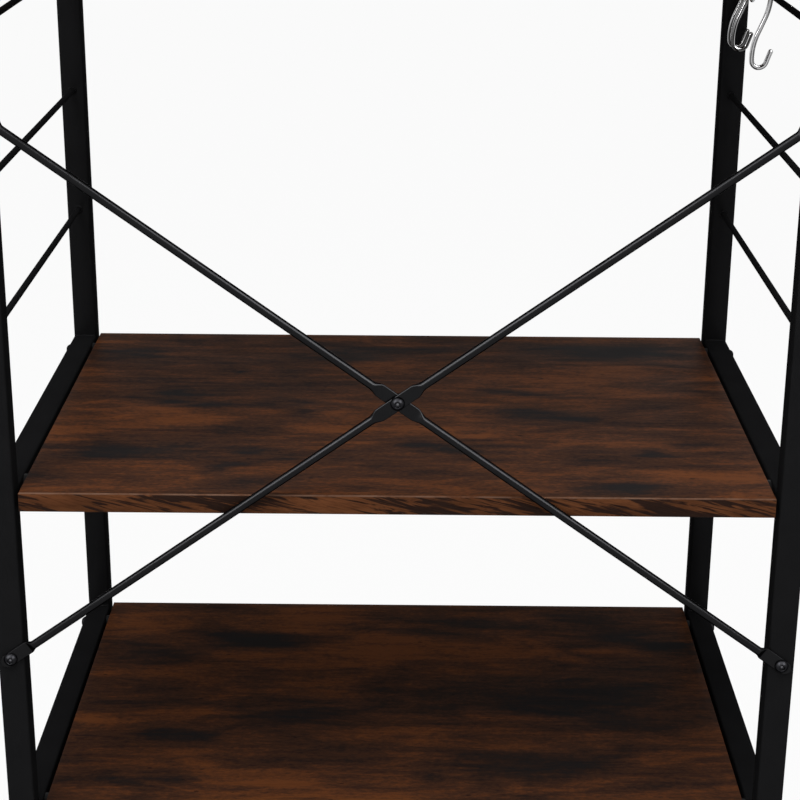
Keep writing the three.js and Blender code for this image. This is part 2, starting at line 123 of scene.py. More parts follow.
class RackSizes(bpy.types.PropertyGroup):
    """Sizes of the detail that the CAD solids leave plain."""

    tube_corner: length("Tube corner", "Outer corner radius of the square tube", 2)
    tube_wall: length("Tube wall", "Wall of the square tube", 1.2)
    weld_bead: length("Rail weld", "Radius of the beads where rails meet posts", 1.3)
    rod_weld_bead: length("Rod weld", "Radius of the beads round the guard rods' ends", 1.1)
    weld_pitch: length("Weld pitch", "Distance from one weld bead to the next", 1.5)
    guard_rod: length("Guard rod", "Diameter of the guard rods", 5)
    brace_rod: length("Brace rod", "Diameter of the brace rods", 6.4)
    flat_thickness: length("Brace flat", "Thickness of the brace where it is pressed", 2)
    flat_width: length("Brace flat width", "Width of the brace where it is pressed", 10.5)
    paddle_inner: length("Paddle inner reach", "From the end bolt towards the middle", 17)
    paddle_outer: length("Paddle outer reach", "From the end bolt to the rod's tip", 8.5)
    paddle_taper: length("Paddle taper", "Length over which the end turns flat", 6)
    centre_flat: length("Centre flat", "Length of the flat at the crossing", 30)
    centre_taper: length("Centre taper", "Length over which the crossing turns flat", 8)
    head_diameter: length("Bolt head", "Diameter of the button heads", 10.5)
    head_height: length("Bolt head height", "Height of the button heads", 3.5)
    socket_width: length("Bolt socket", "Hexagon socket across its flats", 4)
    socket_depth: length("Socket depth", "Depth of the hexagon socket", 2)
    nut_width: length("Nut", "Nut across its flats", 10)
    board_arris: length("Board arris", "Rounding of the boards' edges", 0.9)
    board_cell: length("Board cell", "Mesh cell on the boards' faces", 6)
    wire_diameter: length("Hook wire", "Diameter of the hooks' wire", 4)
    hook_curl: length("Hook curl", "Radius of the curls, to the wire's middle", 6)
    hook_tip: length("Hook tip", "Straight length at each end of the wire", 11.5)
    hook_bend: length("Hook bend", "Radius of the shank's bends", 50)
    hook_shank: length("Hook shank", "Straight length in the shank's middle", 12.6)
    hook_lean: angle("Hook lean", "Turn of each of the shank's bends", 26)
    hook_tip_lean: angle("Hook tip lean", "How far the tips open outwards", 23)
    stud_diameter: length("Foot stud", "Thread diameter of the levelling feet", 6)
    thread_pitch: length("Thread pitch", "Pitch of the levelling feet's thread", 1)
    foot_ribs: IntProperty(
        name="Foot ribs", description="Grip ribs round each foot", default=30, min=8, max=60
    )


class RackFinish(bpy.types.PropertyGroup):
    """Colours and gloss of the rack's finishes."""

    powder: colour("Powder coat", "Satin black of the steel", 31, 31, 32)
    powder_gloss: share("Powder coat roughness", "Roughness of the powder coat", 0.24)
    bolt: colour("Bolts", "Black oxide of the bolts", 31, 31, 33)
    # Painted glint: the light colour laid in the middle of each bolt socket's bottom.
    painted_glint: colour("Bare steel", "Steel laid bare in the bolts' sockets", 112, 112, 116)
    plastic: colour("Plastic", "Black of the plugs and feet", 24, 24, 25)
    rust: colour("Board rust", "Orange brown of the boards' lightest parts", 108, 63, 35)
    umber: colour("Board umber", "Brown of most of the boards", 73, 46, 32)
    shade: colour("Board shade", "Deep brown round the smoky patches", 48, 34, 28)
    smoke: colour("Board smoke", "Dark feathery patches of the boards", 33, 30, 30)
    band: colour("Edge band", "Light brown of the boards' edge band", 118, 72, 43)
    band_dark: colour("Edge band streak", "Dark streaks in the edge band", 38, 25, 20)
    # Painted highlight: the light line on the boards' upper long edges.
    arris: colour("Board arris", "Light line on the boards' long edges", 118, 88, 70)
    # The hooks' light and dark lines are painted reflections; the dark colour also tints dull
    # specks.
    chrome: colour("Chrome", "Light lines of the hooks' plated wire", 205, 205, 206)
    chrome_dark: colour("Chrome shade", "Dark lines of the hooks' plated wire", 48, 47, 46)


class RackStudio(bpy.types.PropertyGroup):
    """The floor, the lamps and the camera."""

    floor_shade: share("Floor", "Brightness of the pale floor", 0.85)
    floor_glow: share("Floor glow", "Share of the floor that the camera sees as plain white", 0.94)
    sky: strength("Sky", "Brightness of the white room on the rack", 0.3)
    key: strength("Key lamp", "Power of the overhead lamp, in watts", 58)
    fill: strength("Fill lamp", "Power of the lamp at the front, in watts", 10)
    streak: strength("Streak lamps", "Power of each lamp that only draws a streak on gloss", 76)
    camera_place: FloatVectorProperty(
        name="Camera place",
        description="Where the camera stands",
        default=(-0.0059, 1.4583, 1.4498),
        subtype="TRANSLATION",
        unit="LENGTH",
    )
    camera_heading: angle("Camera heading", "Turn about the vertical", 180.1908)
    camera_pitch: angle("Camera pitch", "How far the camera looks down", 19.6144)
    camera_roll: angle("Camera roll", "Turn about the camera's own axis", 0.4108)
    camera_lens: FloatProperty(
        name="Lens", description="Focal length", default=84.26, min=10, unit="CAMERA"
    )


def sizes():
    """The sizes set in the scene."""
    return bpy.context.scene.rack_sizes


def finishes():
    """The finishes set in the scene."""
    return bpy.context.scene.rack_finish


def operator_pair(operation):
    """A Python operator that adds one Math node, and its reflected form."""

    def plain(self, other):
        return self.maths(operation, self, other)

    def reflected(self, other):
        return self.maths(operation, other, self)

    return plain, reflected


class Socket:
    """An output of a node. Python's operators on it add Math nodes."""

    def __init__(self, maker, socket):
        self.maker = maker
        self.socket = socket

    def maths(self, operation, *values):
        """The result of one Math node."""
        return self.maker.node("ShaderNodeMath", dict(enumerate(values)), operation=operation)

    __add__, __radd__ = operator_pair("ADD")
    __sub__, __rsub__ = operator_pair("SUBTRACT")
    __mul__, __rmul__ = operator_pair("MULTIPLY")
    __truediv__, __rtruediv__ = operator_pair("DIVIDE")

    def clamped(self):
        """The value held between 0 and 1."""
        return self.maths("MINIMUM", self.maths("MAXIMUM", self, 0.0), 1.0)

    def beside(self, output):
        """Another output of the same node."""
        return Socket(self.maker, self.socket.node.outputs[output])


class Maker:
    """Adds nodes to a shader tree or a geometry tree."""

    def __init__(self, tree):
        self.tree = tree

    def node(self, kind, values=None, output=0, **settings):
        """Adds a node, sets it, feeds its sockets and gives the output asked for."""
        made = self.tree.nodes.new(kind)
        for name, setting in settings.items():
            if name == "stops":
                self.set_stops(made.color_ramp, setting)
            else:
                setattr(made, name, setting)
        for name, value in (values or {}).items():
            for part in value if isinstance(value, list) else [value]:
                if isinstance(part, Socket):
                    self.tree.links.new(part.socket, made.inputs[name])
                else:
                    made.inputs[name].default_value = part
        return Socket(self, made.outputs[output]) if made.outputs else made

    @staticmethod
    def set_stops(ramp, stops):
        """Gives a colour ramp its stops."""
        while len(ramp.elements) < len(stops):
            ramp.elements.new(0.5)
        for element, (place, shade) in zip(ramp.elements, stops):
            element.position = place
            element.color = shade

    def attribute(self, name, output="Fac"):
        """A value that the mesh carries."""
        return self.node("ShaderNodeAttribute", output=output, attribute_name=name)

    def place(self, cells, shift=(0, 0, 0), source=None):
        """The place on the object, or another source, with so many cells to the metre."""
        source = source or self.node("ShaderNodeTexCoord", output="Object")
        scale = cells if isinstance(cells, tuple) else (cells, cells, cells)
        return self.node("ShaderNodeMapping", {"Vector": source, "Location": shift, "Scale": scale})

    def turned_place(self, cells, turn):
        """The place on the object, turned first and then counted in cells of these lengths."""
        source = self.node("ShaderNodeTexCoord", output="Object")
        values = {"Vector": source, "Rotation": turn, "Scale": cells}
        return self.node("ShaderNodeMapping", values, vector_type="TEXTURE")

    def noise(self, place, detail=4.0, roughness=0.5, distortion=0.0):
        """Noise from 0 to 1 at a place, or on the object with so many cells to the metre."""
        values = {
            "Vector": place if isinstance(place, Socket) else self.place(place),
            "Scale": 1.0,
            "Detail": detail,
            "Roughness": roughness,
            "Distortion": distortion,
        }
        return self.node("ShaderNodeTexNoise", values)

    def ease(self, value, low, high, start=0.0, end=1.0):
        """Turns a range smoothly into another."""
        values = {0: value, 1: low, 2: high, 3: start, 4: end}
        return self.node("ShaderNodeMapRange", values, interpolation_type="SMOOTHSTEP")

    def blend(self, factor, first, second, way="MIX"):
        """One colour over another."""
        values = {0: factor, 6: first, 7: second}
        return self.node("ShaderNodeMix", values, output=2, data_type="RGBA", blend_type=way)

    def shades(self, factor, tint, darkest, lightest=1.0):
        """A finish's colour between two levels of brightness."""
        return self.blend(factor, opaque(tint, darkest), opaque(tint, lightest))

    def bump(self, height, distance, strength=1.0):
        """A normal from a height."""
        values = {"Strength": strength, "Distance": distance, "Height": height}
        return self.node("ShaderNodeBump", values)


def opaque(tint, shade=1.0):
    """A finish's colour as a node takes it, with its brightness changed by a factor."""
    return (tint[0] * shade, tint[1] * shade, tint[2] * shade, 1.0)


def fresh_tree(owner):
    """The maker for the emptied node tree of a material or a world."""
    owner.use_nodes = True
    owner.node_tree.nodes.clear()
    return Maker(owner.node_tree)


def material(name):
    """Turns a function that gives a shader's values into one that gives the material, made once."""

    def wrap(paint):
        @functools.wraps(paint)
        def give():
            if name in bpy.data.materials:
                return bpy.data.materials[name]
            made = bpy.data.materials.new(name)
            maker = fresh_tree(made)
            surface = maker.node("ShaderNodeBsdfPrincipled", paint(maker))
            maker.node("ShaderNodeOutputMaterial", {"Surface": surface})
            return made

        return give

    return wrap


def satin_black(maker, gloss_share):
    """Values of black powder coat with its fine orange peel and faint rubbing."""
    made = finishes()
    mottle = maker.noise(35, 3.0)
    peel = maker.noise(900, 2.0)
    rub = maker.noise((60, 60, 14), 5.0, 0.65)
    return {
        "Base Color": maker.shades(mottle, made.powder, 0.85, 1.2),
        "Metallic": gloss_share,
        "Roughness": made.powder_gloss + maker.ease(rub, 0.3, 0.75, -0.05, 0.08),
        "Specular IOR Level": 0.0,
        "Specular Tint": (0.0, 0.0, 0.0, 1),
        "Normal": maker.bump(peel, 0.05 * MM, 0.5),
    }


@material("satin_powder_coat")
def powder_coat(maker):
    """Satin black powder coat of posts, rails, guard rods and welds, with little gloss."""
    return satin_black(maker, gloss_share=0.15)


@material("glossy_rod_coat")
def rod_coat(maker):
    """The brace rods' powder coat, which is glossier and takes a streak of light."""
    return satin_black(maker, gloss_share=0.85)


@material("black_oxide_steel")
def black_oxide(maker):
    """Black oxide steel of the bolts, with a light painted glint in the middle of each socket."""
    grain = maker.noise(1400, 3.0)
    cloud = maker.noise(160, 3.0)
    oxide = maker.shades(cloud, finishes().bolt, 0.7, 1.5)
    return {
        # Painted glint: the marked middle of each socket's bottom takes the light glint colour.
        "Base Color": maker.blend(maker.attribute("worn"), oxide, opaque(finishes().painted_glint)),
        "Metallic": 1.0,
        "Roughness": maker.ease(cloud, 0.25, 0.75, 0.3, 0.42),
        "Specular Tint": (0.3, 0.3, 0.3, 1),
        "Normal": maker.bump(grain, 0.03 * MM, 0.4),
    }


@material("moulded_black_plastic")
def black_plastic(maker):
    """Moulded black plastic with a fine sparked grain."""
    grain = maker.noise(1100, 4.0, 0.7)
    scuff = maker.noise((80, 80, 200), 5.0, 0.7)
    return {
        "Base Color": maker.shades(scuff, finishes().plastic, 0.8, 1.5),
        "Roughness": maker.ease(scuff, 0.3, 0.75, 0.5, 0.66),
        "Specular IOR Level": 0.12,
        "Normal": maker.bump(grain, 0.06 * MM, 0.6),
    }


@material("chrome_plated_wire")
def chrome_plate(maker):
    """Plated wire with painted reflections, light and dark lines along it, and dull specks."""
    made = finishes()
    dark = opaque(made.chrome_dark)
    round_it = maker.place(800, source=maker.attribute("section", "Vector"))
    slow = maker.place(14)
    place = maker.node("ShaderNodeVectorMath", {0: round_it, 1: slow}, operation="ADD")
    lines = maker.noise(place, 2.0, 0.6)
    dull = maker.ease(maker.noise(420, 4.0, 0.7), 0.6, 0.75)
    # Painted reflection: the wire's colour swings between light and dark lines that run along it.
    drawn = maker.blend(maker.ease(lines, 0.43, 0.6), dark, opaque(made.chrome))
    return {
        "Base Color": maker.blend(dull * 0.4, drawn, dark),
        "Metallic": 1.0,
        "Roughness": 0.1 + dull * 0.2,
        "Specular Tint": (0.2, 0.2, 0.2, 1),
        "Normal": maker.bump(lines, 0.01 * MM, 0.3),
    }


# Plating between these two, and the tints that the grain multiplies a board's colours by.
ZINC_DARK = (0.006, 0.006, 0.0063, 1)
ZINC_LIGHT = (0.015, 0.015, 0.0155, 1)
FACE_GRAIN = (0.35, 0.3, 0.28, 1)
BAND_GRAIN = (0.32, 0.27, 0.23, 1)

# The sum of a board's noises at which its lightest colour begins, and the lean of the band's flames.
FACE_LIGHTEST = 2.04
FLAME_SLANT = math.radians(-14)


@material("dark_plated_insert")
def dark_zinc(maker):
    """Dull dark plating of the threaded inserts' flanges."""
    cloud = maker.noise(300, 3.0)
    return {
        "Base Color": maker.blend(cloud, ZINC_DARK, ZINC_LIGHT),
        "Metallic": 0.0,
        "Roughness": maker.ease(cloud, 0.3, 0.7, 0.5, 0.65),
        "Specular IOR Level": 0.05,
        "Normal": maker.bump(cloud, 0.03 * MM, 0.3),
    }


@material("smoky_melamine")
def board_face(maker):
    """Smoky brown melamine: dark feathery patches on rust and umber, with grain and knots."""
    tints = finishes()
    feather = maker.noise((10, 34, 7), 9.0, 0.68, 0.9)
    wisps = maker.noise(maker.place((15, 120, 7), (3, 1, 0)), 7.0, 0.64, 0.5)
    broad = maker.noise(maker.place((5, 15, 5), (7, 0, 2)), 4.0, 0.5, 0.5)
    lines = maker.noise((26, 560, 90), 5.0, 0.65)
    fleck = maker.noise((240, 520, 90), 3.0, 0.6)
    smoke = maker.attribute("smoke")
    depth = smoke * 0.6 + feather * 1.6 + wisps * 1.0 + broad * 1.4 + fleck * 0.8
    stops = [(0.02, tints.rust), (0.38, tints.umber), (0.7, tints.shade), (1.0, tints.smoke)]
    stops = [(place, opaque(tint)) for place, tint in stops]
    tone = (depth - FACE_LIGHTEST).clamped()
    grained = maker.node("ShaderNodeValToRGB", {"Fac": tone}, stops=stops)
    streaked = maker.ease(lines, 0.44, 0.74) * 0.3
    flecked = maker.blend(streaked, grained, FACE_GRAIN, "MULTIPLY")
    cells = {"Vector": maker.place((7, 15, 3), (0.4, 0.1, 0)), "Randomness": 1.0}
    eyes = maker.node("ShaderNodeTexVoronoi", cells)
    knot = maker.ease(eyes + (feather - 0.5) * 0.08, 0.1, 0.035)
    return {
        "Base Color": maker.blend(knot * 0.7, flecked, opaque(tints.smoke, 0.5)),
        "Roughness": maker.ease(feather, 0.3, 0.7, 0.42, 0.52),
        "Specular IOR Level": 0.004,
        "Normal": maker.bump(lines, 0.12 * MM, 0.45),
    }


@material("wood_edge_band")
def edge_band(maker):
    """The long edges' band: rusty brown with dark flames that slant along it, and grain."""
    tints = finishes()
    slant = (0, FLAME_SLANT, 0)
    flame = maker.noise(maker.turned_place((0.042, 0.042, 0.0035), slant), 4.0, 0.55, 0.7)
    sway = maker.noise(maker.place((11, 11, 40), (5, 0, 1)), 3.0)
    fine = maker.noise(maker.turned_place((0.014, 0.014, 0.0011), slant), 5.0, 0.62, 0.4)
    tone = maker.noise(maker.place((22, 22, 110), (2, 0, 5)))
    light = maker.shades(maker.ease(tone, 0.3, 0.7), tints.band, 0.55)
    streaks = maker.ease(flame + (sway - 0.5) * 0.55, 0.455, 0.535)
    dark = maker.blend(streaks * 0.94, light, opaque(tints.band_dark))
    grain = maker.ease(fine, 0.42, 0.68) * 0.5
    return {
        "Base Color": maker.blend(grain, dark, BAND_GRAIN, "MULTIPLY"),
        "Roughness": maker.ease(fine, 0.3, 0.7, 0.45, 0.58),
        "Specular IOR Level": 0.05,
        "Normal": maker.bump(fine, 0.1 * MM, 0.4),
    }


@material("board_arris_line")
def board_arris(maker):
    """A painted highlight where face and edge band meet, broken up by noise."""
    tints = finishes()
    highlight_and_wear = maker.noise(45, 5.0, 0.6)
    worn = maker.ease(highlight_and_wear, 0.35, 0.6)
    return {
        "Base Color": maker.blend(worn, opaque(tints.band, 0.6), opaque(tints.arris)),
        "Roughness": maker.ease(highlight_and_wear, 0.3, 0.7, 0.4, 0.55),
        "Specular IOR Level": 0.05,
        "Normal": maker.bump(highlight_and_wear, 0.05 * MM, 0.3),
    }


def rounded_square(half, corner, steps=6):
    """Points of a square with rounded corners, anticlockwise."""
    middle = half - corner
    points = []
    for quarter, (across, up) in enumerate([(1, 1), (-1, 1), (-1, -1), (1, -1)]):
        for step in range(steps + 1):
            turn = QUARTER * (quarter + step / steps)
            x, y = corner * math.cos(turn), corner * math.sin(turn)
            points.append((across * middle + x, up * middle + y))
    return points


def hexagon(flat, turn):
    """How far a hexagon's side is from its middle in one direction, from half its width."""
    return flat / math.cos(turn % WEDGE - WEDGE / 2)


def turned(profile, count):
    """Rings about Z for a profile of (reach, height). A reach may be a function of the turn."""
    rings = []
    for reach, height in profile:
        ring = []
        for step in range(count):
            turn = 2 * math.pi * step / count
            radius = reach(turn) if callable(reach) else reach
            ring.append((radius * math.cos(turn), radius * math.sin(turn), height))
        rings.append(ring)
    return rings


def skin(rings, closed=False):
    """Points and faces of rings joined in order, capped at both ends or closed on themselves."""
    count = len(rings[0])
    points = [point for ring in rings for point in ring]
    faces = []
    total = len(rings)
    for ring in range(total if closed else total - 1):
        here = ring * count
        there = ((ring + 1) % total) * count
        for step in range(count):
            following = (step + 1) % count
            faces.append((here + step, here + following, there + following, there + step))
    if not closed:
        faces.append(tuple(reversed(range(count))))
        faces.append(tuple(range((total - 1) * count, total * count)))
    return points, faces


def mesh_from(name, points, faces, sharp=CREASE):
    """A mesh with smooth faces and sharp edges where it turns by more than the angle given."""
    mesh = bpy.data.meshes.new(name)
    mesh.from_pydata([tuple(point) for point in points], [], faces)
    mesh.validate()
    mesh.shade_smooth()
    mesh.set_sharp_from_angle(angle=sharp)
    return mesh


def mark(mesh, name, kind, values):
    """Gives each point of a mesh a value that a node tree can read."""
    field = "vector" if kind == "FLOAT_VECTOR" else "value"
    mesh.attributes.new(name, kind, "POINT").data.foreach_set(field, values)


def place_piece(mesh, nodes=(), materials=(), body="frame"):
    """Puts a finished mesh in the scene, on its body and the nodes it replaces."""
    for finish in materials:
        mesh.materials.append(finish)
    piece = bpy.data.objects.new(mesh.name, mesh)
    bpy.context.scene.collection.objects.link(piece)
    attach(piece, body)
    if nodes:
        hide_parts(*nodes)


def hollow_tube(name, low, high, upright):
    """Square tube between two corners, along Z or Y, with rounded corners and its real wall."""
    half = (high.x - low.x) / 2
    middle = (low + high) / 2
    corner = sizes().tube_corner
    wall = sizes().tube_wall
    outer = rounded_square(half, corner)
    inner = rounded_square(half - wall, max(corner - wall, wall / 4))
    start, end = (low.z, high.z) if upright else (low.y, high.y)
    rings = []
    for loop, place in [(outer, start), (outer, end), (inner, end), (inner, start)]:
        if upright:
            rings.append([(middle.x + a, middle.y + b, place) for a, b in loop])
        else:
            rings.append([(middle.x + b, place, middle.z + a) for a, b in loop])
    return mesh_from(name, *skin(rings, closed=True))


class Rule:
    """A geometry tree with named inputs, run on a mesh of places."""

    def __init__(self, name, inputs):
        self.tree = bpy.data.node_groups.new(name, "GeometryNodeTree")
        self.maker = Maker(self.tree)
        self.node = self.maker.node
        ways = {"Mesh": "OUTPUT"}
        labels = {"Places": "Geometry", **inputs, "Finish": "Material", "Mesh": "Geometry"}
        for label, kind in labels.items():
            way = ways.get(label, "INPUT")
            kind = "NodeSocket" + kind
            self.tree.interface.new_socket(name=label, in_out=way, socket_type=kind)
        self.entry = self.tree.nodes.new("NodeGroupInput")

    def read(self, label):
        """One of the tree's inputs."""
        return Socket(self.maker, self.entry.outputs[label])

    def attribute(self, name, kind):
        """A value that the places carry."""
        return self.node("GeometryNodeInputNamedAttribute", {"Name": name}, data_type=kind)

    def chance(self, low, high):
        """A number for each place, drawn with the tree's seed."""
        values = {2: low, 3: high, "Seed": self.read("Seed")}
        return self.node("FunctionNodeRandomValue", values, output=1, data_type="FLOAT")

    def curve(self):
        """The places' edges as curves."""
        return self.node("GeometryNodeMeshToCurve", {"Mesh": self.read("Places")})

    def real(self, geometry):
        """Instances made into plain geometry."""
        return self.node("GeometryNodeRealizeInstances", {"Geometry": geometry})

    def smooth(self, geometry):
        """Geometry with smooth faces."""
        values = {"Geometry": geometry, "Shade Smooth": True}
        return self.node("GeometryNodeSetShadeSmooth", values)

    def end(self, geometry):
        """Realizes the instances, sets the material and closes the tree."""
        values = {"Geometry": self.real(geometry), "Material": self.read("Finish")}
        painted = self.node("GeometryNodeSetMaterial", values)
        closing = self.tree.nodes.new("NodeGroupOutput")
        self.tree.links.new(painted.socket, closing.inputs["Mesh"])
        return self

    def grow(self, name, places, **values):
        """Runs the tree on a mesh of places and gives the plain mesh that it makes."""
        carrier = bpy.data.objects.new(name + "_places", places)
        modifier = carrier.modifiers.new("Rule", "NODES")
        modifier.node_group = self.tree
        for item in self.tree.interface.items_tree:
            label = item.name.replace(" ", "_").lower()
            if item.in_out == "INPUT" and label in values:
                modifier[item.identifier] = values[label]
        bpy.context.scene.collection.objects.link(carrier)
        graph = bpy.context.evaluated_depsgraph_get()
        mesh = bpy.data.meshes.new_from_object(
            carrier.evaluated_get(graph), preserve_all_data_layers=True, depsgraph=graph
        )
        bpy.data.objects.remove(carrier)
        if not mesh.polygons:
            raise RuntimeError(name + ": the tree made no faces")
        mesh.name = name
        return mesh


def spots_mesh(name, spots):
    """A mesh of loose points, each with the direction it aims in."""
    mesh = bpy.data.meshes.new(name)
    mesh.from_pydata([tuple(place) for place, aim in spots], [], [])
    mark(mesh, "aim", "FLOAT_VECTOR", [number for place, aim in spots for number in aim])
    return mesh


def paths_mesh(name, paths, girths=None):
    """A mesh of open or closed paths. girths are shares of the full radius along each path."""
    points = []
    edges = []
    shares = []
    for number, path in enumerate(paths):
        start = len(points)
        points.extend(tuple(point) for point in path)
        edges.extend((start + i, start + i + 1) for i in range(len(path) - 1))
        shares.extend(girths[number] if girths else [1.0] * len(path))
    mesh = bpy.data.meshes.new(name)
    mesh.from_pydata(points, edges, [])
    mark(mesh, "girth", "FLOAT", shares)
    return mesh


def fastener_rule():
    """A tree that sets a small part on every place, aimed along it and turned at random."""
    rule = Rule("fastener_rows", {"Part": "Object", "Largest Turn": "Float", "Seed": "Int"})
    node = rule.node
    values = {"Vector": rule.attribute("aim", "FLOAT_VECTOR")}
    aimed = node("FunctionNodeAlignRotationToVector", values, axis="Z")
    values = {"Axis": (0, 0, 1), "Angle": rule.chance(0.0, rule.read("Largest Turn"))}
    spin = node("FunctionNodeAxisAngleToRotation", values)
    values = {"Rotation": aimed, "Rotate By": spin}
    turned_part = node("FunctionNodeRotateRotation", values, rotation_space="LOCAL")
    part = node("GeometryNodeObjectInfo", {"Object": rule.read("Part")}, output="Geometry")
    values = {"Points": rule.read("Places"), "Instance": part, "Rotation": turned_part}
    return rule.end(node("GeometryNodeInstanceOnPoints", values))


def bead_rule():
    """A tree that lays uneven beads along paths, as a weld has them."""
    rule = Rule("weld_beads", {"Pitch": "Float", "Bead Radius": "Float", "Seed": "Int"})
    values = {"Curve": rule.curve(), "Length": rule.read("Pitch")}
    spaced = rule.node("GeometryNodeResampleCurve", values, mode="LENGTH")
    values = {"Segments": 8, "Rings": 5, "Radius": rule.read("Bead Radius")}
    bead = rule.node("GeometryNodeMeshUVSphere", values)
    values = {"Points": spaced, "Instance": bead, "Scale": rule.chance(0.88, 1.08)}
    beads = rule.node("GeometryNodeInstanceOnPoints", values)
    return rule.end(rule.smooth(rule.real(beads)))


def wire_rule():
    """A tree that sweeps round wire along paths and keeps each point's place in the section."""
    rule = Rule("round_wire", {"Diameter": "Float", "Sides": "Int"})
    values = {"Resolution": rule.read("Sides"), "Radius": rule.read("Diameter") * 0.5}
    circle = rule.node("GeometryNodeCurvePrimitiveCircle", values)
    place = rule.node("GeometryNodeInputPosition")
    values = {"Geometry": circle, "Name": "section", "Value": place}
    settings = {"data_type": "FLOAT_VECTOR", "domain": "POINT"}
    section = rule.node("GeometryNodeStoreNamedAttribute", values, **settings)
    girth = rule.attribute("girth", "FLOAT")
    values = {"Curve": rule.curve(), "Profile Curve": section, "Scale": girth, "Fill Caps": True}
    return rule.end(rule.smooth(rule.node("GeometryNodeCurveToMesh", values)))


# The thread's ridge is a three-sided wire whose radius is a share of the pitch, with so many
# points to a turn. A grip rib is a thin rod.
THREAD_CREST = 0.42
THREAD_POINTS = 20
RIB_RADIUS = 0.45 * MM


def foot_rule():
    """A tree that adds the stud's thread and the grip ribs to a levelling foot's body."""
    labels = {"Thread Radius": "Float", "Thread Pitch": "Float", "Thread Length": "Float"}
    labels.update({"Thread Start": "Vector", "Rib Length": "Float"})
    rule = Rule("foot_thread_and_ribs", labels)
    node = rule.node
    pitch = rule.read("Thread Pitch")
    reach = rule.read("Thread Length")
    radius = rule.read("Thread Radius")
    values = {
        "Resolution": THREAD_POINTS,
        "Rotations": reach / pitch,
        "Start Radius": radius,
        "End Radius": radius,
        "Height": reach,
    }
    helix = node("GeometryNodeCurveSpiral", values)
    values = {"Resolution": 3, "Radius": pitch * THREAD_CREST}
    crest = node("GeometryNodeCurvePrimitiveCircle", values)
    values = {"Curve": helix, "Profile Curve": crest, "Fill Caps": True}
    ridge = node("GeometryNodeCurveToMesh", values)
    values = {"Geometry": ridge, "Translation": rule.read("Thread Start")}
    thread = node("GeometryNodeTransform", values)
    values = {"Vertices": 8, "Radius": RIB_RADIUS, "Depth": rule.read("Rib Length")}
    rib = node("GeometryNodeMeshCylinder", values)
    values = {"Geometry": rule.read("Places"), "Selection": rule.attribute("rib", "BOOLEAN")}
    rib_places = node("GeometryNodeSeparateGeometry", values)
    ribs = node("GeometryNodeInstanceOnPoints", {"Points": rib_places, "Instance": rib})
    parts = [rib_places.beside("Inverted"), thread, rule.smooth(rule.real(ribs))]
    return rule.end(node("GeometryNodeJoinGeometry", {"Geometry": parts}))


def set_parts(name, part, spots, slot, finish, nodes=(), largest_turn=0.0, seed=1):
    """One piece of like small parts: the part's mesh on every spot, aimed and turned."""
    master = bpy.data.objects.new(name + "_master", part)
    bpy.context.scene.collection.objects.link(master)
    values = {"part": master, "largest_turn": largest_turn, "seed": seed, "finish": finish}
    mesh = fastener_rule().grow(name, spots_mesh(name + "_spots", spots), **values)
    bpy.data.objects.remove(master)
    place_piece(mesh, nodes)


def lay_welds(name, paths, bead, seed):
    """One piece of weld beads along paths, in the steel's own coat."""
    values = {"pitch": sizes().weld_pitch, "bead_radius": bead, "seed": seed}
    places = paths_mesh(name + "_paths", paths)
    mesh = bead_rule().grow(name, places, finish=powder_coat(), **values)
    place_piece(mesh)


# The lamps: name, the setting that holds the power, width, place and target in metres.
LAMPS = (
    ("key_lamp", "key", 2.0, (0.3, 1.2, 3.4), (0, 0, 0.9)),
    ("fill_lamp", "fill", 1.8, (-1.2, -2.4, 2.2), (0, 0, 0.7)),
    ("streak_lamp_left", "streak", 1.5, (-1.57, 1.3, 2.44), (0, 0.2, 1.0)),
    ("streak_lamp_right", "streak", 1.5, (1.57, 1.3, 2.44), (0, 0.2, 1.0)),
)
FLOOR_HALF = 15.0
FLOOR_UNEVENNESS = 1.02
SENSOR_WIDTH = 36
FARTHEST_SEEN = 100
WHITE = (1, 1, 1, 1)


